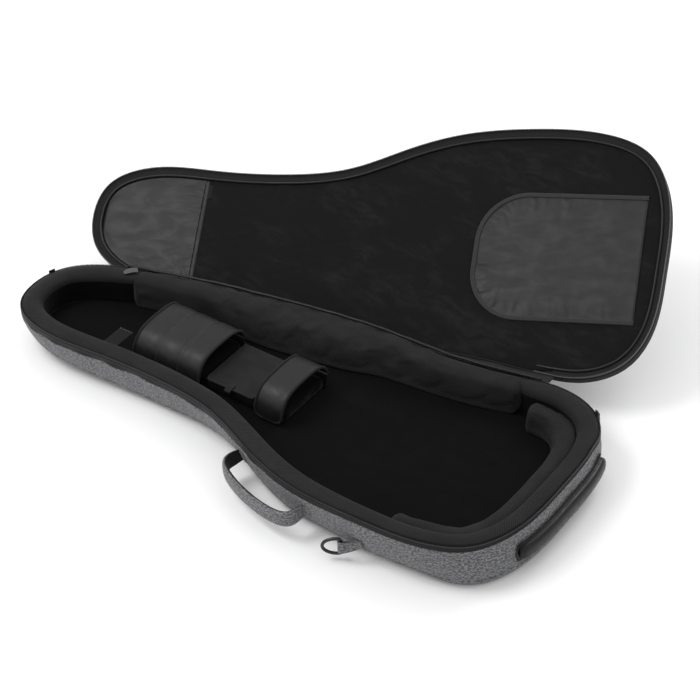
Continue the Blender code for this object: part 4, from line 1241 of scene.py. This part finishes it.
def build_handle():
    count = 96
    line, start, along, away, places = handle_path(count)
    side = unit(np.gradient(line, axis=0))
    share = from_ends(count) / count
    tall = HANDLE_HEIGHT / 2 * (0.8 + 0.2 * smooth_step(share, 0, 0.08))
    stiff = 0.45 + 0.55 * smooth_step(share, 0.0, 0.16)
    phase = np.linspace(0, 1, count)
    crease = 0.25 * np.sin(TAU * 5 * phase + 1) + 0.18 * np.sin(TAU * 17 * phase)
    droop = HANDLE_DROOP * smooth_step(line[:, 1], -4, 34)

    def sagged(lift, up):
        """Points of the band: lift is out from its middle line, up is across its width."""
        slide = line[:, 0] - side[:, 1] * lift
        reach = line[:, 1] + side[:, 0] * lift
        out = reach * np.cos(droop) + up * np.sin(droop)
        height = HANDLE_Z - reach * np.sin(droop) + up * np.cos(droop) - 4 * np.sin(math.pi * phase)
        flat = start + along * slide[:, None] + away * out[:, None]
        return np.column_stack([flat, height])

    for name, node, look, slot, section in (
        ("side_handle_cover", "side_handle_outer", HEATHER, "heather",
         [(0.1, -0.98), (1.6, -1.0), (3.6, -0.86), (4.7, -0.55), (5.0, 0.0), (4.7, 0.55), (3.6, 0.86),
          (1.6, 1.0), (0.1, 0.98), (0.1, 0.5), (0.1, -0.5)]),
        ("side_handle_pad", "side_handle_lining", TWILL, "twill",
         [(-0.1, -0.97), (-1.2, -0.99), (-3.0, -0.88), (-4.3, -0.6), (-4.9, 0.0), (-4.3, 0.6), (-3.0, 0.88),
          (-1.2, 0.99), (-0.1, 0.97), (-0.1, 0.5), (-0.1, -0.5)]),
    ):
        rows = [sagged(out * stiff + (0.6 * crease if abs(out) > 3 else 0), up * tall)
                for out, up in rounded_profile(section, per_span=3)]
        made = grid_object(name, rows, look, wrap_v=True, caps=True)
        into_place(made, "side_handle", slot, node, padded=0.7)
    for level, tag in ((-0.80, "low"), (0.80, "high")):
        seam = sagged(4.1 * stiff, level * tall)[5:-5]
        out = sagged(8 * stiff, 1.2 * level * tall)[5:-5] - seam
        sew(f"side_handle_stitching_{tag}", seam, out, GREY_THREAD, "side_handle", "heather")
    for name, (point, out) in zip(("handle_anchor_head", "handle_anchor_body"), places):
        build_patch(name, point, out)


def build_patch(name, point, out):
    """Sewn fabric patch that the handle comes out of, with a boxed row of stitches."""
    along = np.array([-out[1], out[0]])
    wide, tall, cells = 13, 11.5, 15
    tuck = np.interp(point[0], X[:HALF], TUCK[:HALF])
    rows = []

    def wall(height):
        return -tuck * np.interp(height, (23, 35, 47, 55, 68), (0.6, 0.42, 0.25, 0.1, 0.0))

    for lift in (0.5, 2.3):
        for v in np.linspace(-1, 1, cells):
            row = []
            for u in np.linspace(-1, 1, cells):
                height = HANDLE_Z + v * tall
                proud = lift - (1.2 if lift > 1 and max(abs(u), abs(v)) > 0.98 else 0)
                flat = point + along * u * wide + out * (wall(height) + proud)
                row.append((*flat, height))
            rows.append(row)
    front = rows[cells:]
    back = rows[:cells][::-1]
    patch = grid_object(name + "_patch", front + back, HEATHER, wrap_v=True, caps=True, smooth=50)
    into_place(patch, "base", "heather", name)
    corners = np.array([(-0.82, -0.78), (0.82, -0.78), (0.82, 0.78), (-0.82, 0.78), (-0.82, -0.78)])
    line = []
    for start, end in zip(corners, corners[1:]):
        for t in np.linspace(0, 1, 8, endpoint=False):
            u, v = start + (end - start) * t
            height = HANDLE_Z + v * tall
            line.append((*(point + along * u * wide + out * (wall(height) + 2.4)), height))
    sew(name + "_stitching", line, (*out, 0), GREY_THREAD, "base", "heather", pitch=3.4, length=2.4)


D_RING_BAR = (272, -242)
D_RING_Z = 26
D_RING_REST = math.radians(32)


def build_d_ring():
    bar_x, bar_y = D_RING_BAR
    half, depth, straight = 15, 28, 6
    angles = np.linspace(math.pi / 2, 3 * math.pi / 2, 40)
    bow = [(bar_x - straight + (depth - straight) * math.cos(a), bar_y, D_RING_Z + half * math.sin(a))
           for a in angles]
    bar = [(bar_x, bar_y, z) for z in np.linspace(D_RING_Z - half + 2.5, D_RING_Z + half - 2.5, 12)]
    corner_high = [(bar_x - 0.7, bar_y, D_RING_Z + half - 0.7), (bar_x - 2.5, bar_y, D_RING_Z + half)]
    corner_low = [(bar_x - 2.5, bar_y, D_RING_Z - half), (bar_x - 0.7, bar_y, D_RING_Z - half + 0.7)]
    path = along_length(np.array(bar + corner_high + bow + corner_low + bar[:1]), 90)
    reach = path[:, 0] - bar_x
    path[:, 0] = bar_x + reach * math.cos(D_RING_REST)
    path[:, 1] = bar_y + reach * math.sin(D_RING_REST)
    ring = tube_object("d_ring_wire", path, 2.7, METAL, sides=14, closed=True, up=(-0.53, 0.85, 0))
    into_place(ring, "d_ring", "black_metal", "d_ring")

    turn = np.linspace(math.pi / 2, 3 * math.pi / 2, 14)
    around = 3.7
    rows = []
    for up in (-1, -0.9, -0.5, 0, 0.5, 0.9, 1):
        bend = [(bar_x + around * math.cos(a), bar_y + around * math.sin(a)) for a in turn]
        back = bar_x + 31
        wall = bar_y + 17.5 - 3.5 * up
        inner = [(back, wall - 0.5), (bar_x + 16, bar_y + 9), (bar_x + 4, bar_y + around)]
        outer = [(bar_x + 4, bar_y - around), (bar_x + 16, bar_y + 4.5), (back, wall - 2.2)]
        line = along_length(smooth_path(inner + bend + outer, 4), 80, endpoint=True)
        away = np.clip((line[:, 0] - bar_x) / 31, 0, 1)
        rows.append(np.column_stack([line, D_RING_Z - 1 + up * (11.6 - 4 * away) + 7 * away]))
    tab = grid_object("d_ring_tab_web", rows, HEATHER)
    thick = tab.modifiers.new("cloth thickness", "SOLIDIFY")
    thick.thickness = 1.5 * MM
    thick.offset = 0
    into_place(tab, "base", "heather", "d_ring_tab")
    for shift, name in ((24, "wall"), (7.5, "bar")):
        depth = 4.5 + 11 * (shift - 16) / 15 if shift > 16 else -around + 1.4
        away = shift / 31
        middle, half_row = D_RING_Z - 1 + 7 * away, 10 - 4 * away
        seam = [(bar_x + shift, bar_y + depth - 2.6, z)
                for z in np.linspace(middle - half_row, middle + half_row, 14)]
        sew(f"d_ring_tab_stitching_{name}", seam, (0.25, -0.97, 0), GREY_THREAD, "base", "heather",
            pitch=3.2, length=2.4)


def slider_block(name, middle, along, out, boxes):
    """Bevelled blocks in a slider's own axes, joined in one mesh."""
    shape = bmesh.new()
    for low, high, bevel in boxes:
        cube = bmesh.ops.create_cube(shape, size=1)["verts"]
        for vert in cube:
            vert.co = Vector([low[k] + (vert.co[k] + 0.5) * (high[k] - low[k]) for k in range(3)])
        edges = {e for v in cube for e in v.link_edges}
        bmesh.ops.bevel(shape, geom=list(edges), offset=bevel, segments=3, affect="EDGES", profile=0.6)
    for vert in shape.verts:
        u, v, z = vert.co
        flat = middle + along * u + out * v
        vert.co = Vector((flat[0], flat[1], z)) * MM
    bmesh.ops.recalc_face_normals(shape, faces=shape.faces)
    return block_object(name, shape, METAL, smooth=40)


def build_slider(node, body, point, out):
    """Zipper slider with a bridge, and a flat pull with an eye hanging from it."""
    along = np.array([-out[1], out[0]])
    block = slider_block(node + "_block", point, along, out, [
        ((-6, 0.9, 74.6), (6, 2.6, 82.9), 0.6),
        ((-4.6, 2.2, 76.2), (-2.9, 5.0, 81.2), 0.5),
        ((2.9, 2.2, 76.2), (4.6, 5.0, 81.2), 0.5),
        ((-4.6, 4.0, 77.4), (4.6, 5.1, 80.0), 0.4),
    ])
    into_place(block, body, "black_metal", node)

    def oval(wide, middle_z, tall, lift):
        turns = np.linspace(0, TAU, 40, endpoint=False)
        return [(*(point + along * wide * math.sin(a) + out * lift), middle_z + tall * math.cos(a))
                for a in turns]

    rim, eye = (3.4, 65.5, 11.3), (1.5, 58.5, 2.4)
    rows = [oval(*rim, 4.6), oval(*rim, 5.9), oval(*eye, 5.9), oval(*eye, 4.6)]
    pull = grid_object(node + "_puller", rows, METAL, wrap_u=True, wrap_v=True, smooth=40)
    into_place(pull, body + "_pull", "black_metal", node + "_pull")


def build_sliders():
    """The sliders sit on the coarser outline that the CAD uses."""
    count = 68
    near = along_length(OUTLINE[:HALF + 1], count // 2)
    far = along_length(np.vstack([OUTLINE[HALF:], OUTLINE[:1]]), count // 2)
    coarse = np.vstack([near, far])
    facing = outward(coarse)
    head = count - 1
    body = min(range(count // 2, count), key=lambda i: abs(coarse[i, 0] - 462))
    build_slider("zipper_slider_head", "slider_head", coarse[head], facing[head])
    build_slider("zipper_slider_body", "slider_body", coarse[body], facing[body])


# ------------------------------------------------------------------ lid

def build_lid_shell():
    bulge = ripple(9, 30, 50)
    side = [(0.4, 88.3), (-0.2, 90.5), (-0.4 + 0.2 * bulge, 96), (-0.1, 101.5), (0.4, LID_SIDE_TOP),
            (1.8, LID_SIDE_TOP), (2.2, 96), (2.2, 88.3)]
    gusset = ring_object("lid_side_wall", side, GUSSET, lid=True)
    into_place(gusset, "lid", "webbing", "lid_gusset", "lid_foam_core")

    plan = panel_points(0.4, across=70)
    depth = edge_distance(plan, 0.4)
    x, y = plan[:, :, 0], plan[:, :, 1]
    inside = smooth_step(depth, 4, 60)
    shoulder = np.sin(math.pi / 2 * np.clip(depth / 20, 0, 1)) ** 0.8
    top = LID_SIDE_TOP + 0.6 + (LID_TOP - LID_SIDE_TOP - 1.8) * shoulder
    top = top + inside * (0.7 * field(x, y, 70, 51) + 0.35 * field(x, y, 24, 52))
    under = np.minimum(top - 1.6, LID_SIDE_TOP + 0.4 + 0.85 * (top - LID_SIDE_TOP - 1.6).clip(0))
    skin = closed_panel("lid_cover_fabric", plan, top, under, HEATHER, lid=True)
    into_place(skin, "lid", "heather", "lid_outer_panel", padded=0.5)

    piping = ring_object("lid_cover_piping", round_section(1.2, LID_SIDE_TOP + 0.6, 1.7, 10), TAPE, lid=True)
    into_place(piping, "lid", "webbing")


def build_lid_edge():
    wrinkle = ripple(170, 430, 54)
    slow = ripple(30, 80, 55)
    radius = 2.35 * (1 + 0.11 * wrinkle + 0.05 * slow)
    section = round_section(14 + 0.2 * slow, 87.25 + 6 * HINGE_SIDE, radius, 14)
    piping = ring_object("lid_piping_cord", section, PIPING, lid=True)
    into_place(piping, "lid", "nylon", "lid_piping")
    lip = [(12.6, 88.3), (9, 88.2 + 0.15 * slow), (5, 87.0 + 0.15 * slow), (1.6, 84.6), (0.4, 83.2),
           (-0.2, 83.1), (-0.2, 84.4), (0.8, 87.4), (2.4, 89.6), (12.6, 89.8)]
    lip = [(inset + 2.2 * HINGE_SIDE, height + 7 * HINGE_SIDE) for inset, height in lip]
    tape = ring_object("lid_zipper_tape_band", rounded_profile(lip, per_span=2), TAPE, lid=True)
    into_place(tape, "lid", "webbing", "lid_zipper_tape")
    coil = coil_object("lid_zipper_teeth", 0.3 + 4 * HINGE_SIDE, 82.0 + 11 * HINGE_SIDE, COIL, lid=True)
    into_place(coil, "lid", "board", "lid_zipper_coil")


def build_liner():
    inset = 12.5 - 11.5 * HINGE_SIDE
    plan = panel_points(inset, across=90)
    depth = edge_distance(plan, inset)
    x, y = plan[:, :, 0], plan[:, :, 1]
    inside = smooth_step(depth, 3, 25)
    crush = 0.5 * field(x, y, 60, 60) + 0.3 * field(x, 2.2 * y, 24, 61) + 0.12 * field(x, y, 9, 62)
    front = LINER_Z - 0.25 - 0.35 * inside - 0.45 * inside * crush
    liner = closed_panel("lid_velour_lining", plan, front, LINER_Z + 2, VELOUR, lid=True)
    into_place(liner, "lid", "velour", "lid_liner")


def edge_creases(x, y, path, inward, count, seed, length=(18, 60), height=(0.35, 1.1), width=(1.6, 3.6)):
    """Soft folds that start at random places on a seam, run inwards and fade away."""
    rng = np.random.default_rng(seed)
    where = rng.uniform(0, len(path) - 1.001, count)
    low = where.astype(int)
    share = (where - low)[:, None]
    starts = path[low] * (1 - share) + path[low + 1] * share
    swing = rng.uniform(-0.35, 0.35, count)
    way_x = inward[low, 0] * np.cos(swing) - inward[low, 1] * np.sin(swing)
    way_y = inward[low, 0] * np.sin(swing) + inward[low, 1] * np.cos(swing)
    sizes = [rng.uniform(*limits, count) for limits in (length, width, height)]
    total = np.zeros(x.shape)
    for (start_x, start_y), dx, dy, long, wide, high in zip(starts, way_x, way_y, *sizes):
        along = ((x - start_x) * dx + (y - start_y) * dy) / long
        across = (y - start_y) * dx - (x - start_x) * dy
        fade = smooth_step(along, -0.05, 0.05) * (1 - smooth_step(along, 0.25, 1.0))
        spread = wide * (1 + 0.9 * np.clip(along, 0, 1))
        hollow = np.exp(-((across - 1.8 * spread) / spread) ** 2)
        total += high * fade * (np.exp(-(across / spread) ** 2) - 0.5 * hollow)
    return total


def pocket_plan(xs, low, high, cells):
    """Plan grid between two edges, finer towards both, and the distance in from them."""
    share = 0.5 - 0.5 * np.cos(np.linspace(0, math.pi, cells))
    low, high = low[:, None], high[:, None]
    y = low + (high - low) * share
    x = np.repeat(xs[:, None], cells, axis=1)
    return x, y, np.minimum(y - low, high - y)


HEAD_POCKET_X = -313
HEM_WIDTH = 8


def build_head_pocket():
    ring = inset_ring(18.2)
    near = ring[:HALF][ring[:HALF, 0] < HEAD_POCKET_X + 3]
    far = ring[HALF:][ring[HALF:, 0] < HEAD_POCKET_X + 3][::-1]
    tip = max(near[0, 0], far[0, 0]) + 0.4
    xs = np.sort(HEAD_POCKET_X - (HEAD_POCKET_X - tip) * (1 - np.sin(np.linspace(0, math.pi / 2, 70))))
    low = np.interp(xs, near[:, 0], near[:, 1])
    high = np.interp(xs, far[:, 0], far[:, 1])
    x, y, depth = pocket_plan(xs, low, high, 70)
    crown = smooth_step(np.minimum(depth, x - tip + 6), 0, 26)
    hem = plan_grid([HEAD_POCKET_X], np.linspace(low[-1] + 6, high[-1] - 6, 40))[0]
    into = np.tile([-1.0, 0.0], (40, 1))
    folds = edge_creases(x, y, hem, into, 26, 70, length=(22, 80))
    corner = np.array([[HEAD_POCKET_X - 4, high[-1] - 12], [HEAD_POCKET_X - 60, high[-1] - 3],
                       [HEAD_POCKET_X - 105, high[-30] - 2]])
    fan = np.array([[-0.72, -0.69], [-0.60, -0.80], [-0.45, -0.89]])
    folds = folds + edge_creases(x, y, corner, fan, 12, 71, length=(50, 120), height=(0.6, 1.4),
                                 width=(2.5, 5))
    soft = 0.7 * field(x, y, 38, 72) + 0.25 * field(x, y, 13, 73)
    front = POCKET_BACK - 0.9 - crown * (1.5 + 0.5 * soft) - crown * 0.8 * folds
    front = np.clip(front, 85.6, POCKET_BACK - 0.5)
    pocket = closed_panel("lid_head_pocket_cloth", np.dstack([x, y]), front, POCKET_BACK, NYLON, lid=True)
    into_place(pocket, "lid", "nylon", "lid_head_pocket")

    start = HEAD_POCKET_X + 0.3
    grid = plan_grid(np.linspace(start, start + HEM_WIDTH, 8), np.linspace(low[-1] + 0.5, high[-1] - 2, 60))
    roll = np.sin(math.pi * np.linspace(0, 1, 8))[:, None] ** 0.5
    pinch = 0.25 * field(grid[:, :, 0], grid[:, :, 1], 5, 74)
    front = POCKET_BACK - 1.0 - 1.5 * roll - pinch * roll
    band = closed_panel("lid_head_pocket_hem_band", grid, front, POCKET_BACK, NYLON, lid=True)
    into_place(band, "lid", "webbing", "lid_head_pocket_hem")
    for offset, tag in ((1.7, "inner"), (6.2, "outer")):
        line = [(start + offset, at_y, 87.0) for at_y in np.linspace(low[-1] + 2, high[-1] - 4, 60)]
        sew(f"lid_head_pocket_stitching_{tag}", open_lid(line), LID_DOWN, DARK_THREAD, "lid",
            "webbing", pitch=3.6, length=2.7, width=0.7)

    tag_x, tag_y = start + HEM_WIDTH + 0.3, low[-1] + 9
    grid = plan_grid(np.linspace(tag_x - 1, tag_x + 7, 8), np.linspace(tag_y, tag_y + 25, 12))
    lift = 0.8 * np.sin(math.pi * np.linspace(0, 1, 8))[:, None]
    tag = closed_panel("lid_woven_tag_blank", grid, 88.5 - lift, 89.3 - lift, LABEL, lid=True)
    into_place(tag, "lid", "label", "lid_woven_tag")


BODY_POCKET_X = (190, 477)
BODY_POCKET_Y = (-116, 114)
BODY_POCKET_RADIUS = 88
BINDING_WIDTH = 8


def pocket_edge(inset):
    """Plan of the pocket's sewn edge: top right, round the left end, bottom right."""
    left, right = BODY_POCKET_X[0] + inset, BODY_POCKET_X[1]
    low, high = BODY_POCKET_Y[0] + inset, BODY_POCKET_Y[1] - inset
    radius = BODY_POCKET_RADIUS - inset
    points = [(right, high)]
    for start, middle_y in ((math.pi / 2, high - radius), (math.pi, low + radius)):
        for a in np.linspace(start, start + math.pi / 2, 24):
            points.append((left + radius + radius * math.cos(a), middle_y + radius * math.sin(a)))
    points.append((right, low))
    return along_length(np.array(points), 240, endpoint=True)


def build_body_pocket():
    edge = pocket_edge(BINDING_WIDTH - 1)
    top = edge[:120][::-1]
    bottom = edge[120:]
    left = BODY_POCKET_X[0] + BINDING_WIDTH - 1
    xs = left + 0.3 + (BODY_POCKET_X[1] - left - 0.3) * (1 - np.cos(np.linspace(0, math.pi / 2, 110)))
    high = np.interp(xs, top[:, 0], top[:, 1])
    low = np.interp(xs, bottom[:, 0], bottom[:, 1])
    x, y, depth = pocket_plan(xs, low, high, 80)
    depth = np.minimum(depth, x - left)
    crown = smooth_step(depth, 0, 22)
    inward = -right_of(np.gradient(edge, axis=0))
    folds = edge_creases(x, y, edge[10:-10], inward[10:-10], 60, 80, length=(12, 46), height=(0.3, 0.9))
    round_end = edge_creases(x, y, edge[80:160], inward[80:160], 26, 81, length=(16, 60), height=(0.5, 1.2))
    soft = 0.8 * field(x, y, 60, 82) + 0.3 * field(x, y, 18, 83)
    folds = smooth_step(depth, 0, 6) * 0.75 * (folds + round_end)
    front = POCKET_BACK - 0.9 - crown * (1.5 + 0.5 * soft) - folds
    front = np.clip(front, 85.7, POCKET_BACK - 0.5)
    pocket = closed_panel("lid_body_pocket_cloth", np.dstack([x, y]), front, POCKET_BACK, NYLON, lid=True)
    into_place(pocket, "lid", "nylon", "lid_body_pocket")

    inner, outer = pocket_edge(BINDING_WIDTH), pocket_edge(0)
    count = len(inner)
    waver = 0.15 * np.sin(np.linspace(0, 60, count)) + 0.1 * np.sin(np.linspace(0, 170, count))
    section = ((0, 89.6), (0.02, 87.4), (0.12, 86.75), (0.5, 86.5), (0.88, 86.75), (0.98, 87.4), (1, 89.6))
    rows = [open_lid(at_height(outer + (inner - outer) * share_in, z + waver)) for share_in, z in section]
    band = grid_object("lid_body_pocket_binding_band", rows, GROSGRAIN, wrap_v=True, caps=True, smooth=50)
    into_place(band, "lid", "webbing", "lid_body_pocket_binding")
    for share_in, tag in ((0.16, "outer"), (0.84, "inner")):
        line = open_lid(at_height(outer + (inner - outer) * share_in, 86.65))
        sew(f"lid_body_pocket_stitching_{tag}", line, LID_DOWN, DARK_THREAD, "lid", "webbing",
            pitch=3.6, length=2.7, width=0.7)


GUSSET_X = (-330, 360)


def build_hinge_gusset():
    """Cloth from the far rim of the tray to the hinge edge of the open lid."""
    stations = stations_between(station_at(GUSSET_X[1], True), station_at(GUSSET_X[0], True))
    base_edge = ring_points(1.9, 77.5)[stations]
    base_mid = ring_points(-0.9, 72)[stations]
    lid_edge = open_lid(ring_points(0.6, 84.5 + 5.2 * HINGE_SIDE)[stations])
    lid_mid = open_lid(ring_points(-0.8, 92)[stations])
    full = smooth_step(from_ends(len(stations)) * STEP, 0, 55)[:, None]
    base_mid = base_edge + (base_mid - base_edge) * (0.25 + 0.75 * full)
    lid_mid = lid_edge + (lid_mid - lid_edge) * (0.25 + 0.75 * full)
    sag = 2.5 * (1 + 0.5 * ripple(20, 60, 90)[stations]) * full[:, 0]
    rows, weights = [], []
    for t in np.linspace(0, 1, 22):
        row = (1 - t) ** 3 * base_edge + 3 * (1 - t) ** 2 * t * base_mid
        row = row + 3 * (1 - t) * t * t * lid_mid + t ** 3 * lid_edge
        row[:, 2] -= sag * math.sin(math.pi * t)
        rows.append(row)
        weights.append(np.full(len(stations), t * t * (3 - 2 * t)))
    cloth = grid_object("hinge_gusset_cloth", rows, GUSSET)
    thick = cloth.modifiers.new("cloth thickness", "SOLIDIFY")
    thick.thickness = 0.9 * MM
    thick.offset = 0
    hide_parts("hinge_gusset")
    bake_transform(cloth)
    rows = np.array(rows)
    fall = np.mean([travel(column)[-1] for column in rows.swapaxes(0, 1)]) * MM


def build():
    make_camera()
    make_studio()
    build_tray()
    build_rim()
    build_side_pads()
    build_floor()
    build_bumper()
    build_neck_rests()
    build_strap("wide_neck_strap", "wide_strap", WIDE_STRAP_X, 3)
    build_strap("narrow_neck_strap", "narrow_strap", NARROW_STRAP_X, 1)
    build_accessory_box()
    build_labels()
    build_handle()
    build_d_ring()
    build_sliders()
    build_lid_shell()
    build_lid_edge()
    build_liner()
    build_head_pocket()
    build_body_pocket()
    build_hinge_gusset()


build()
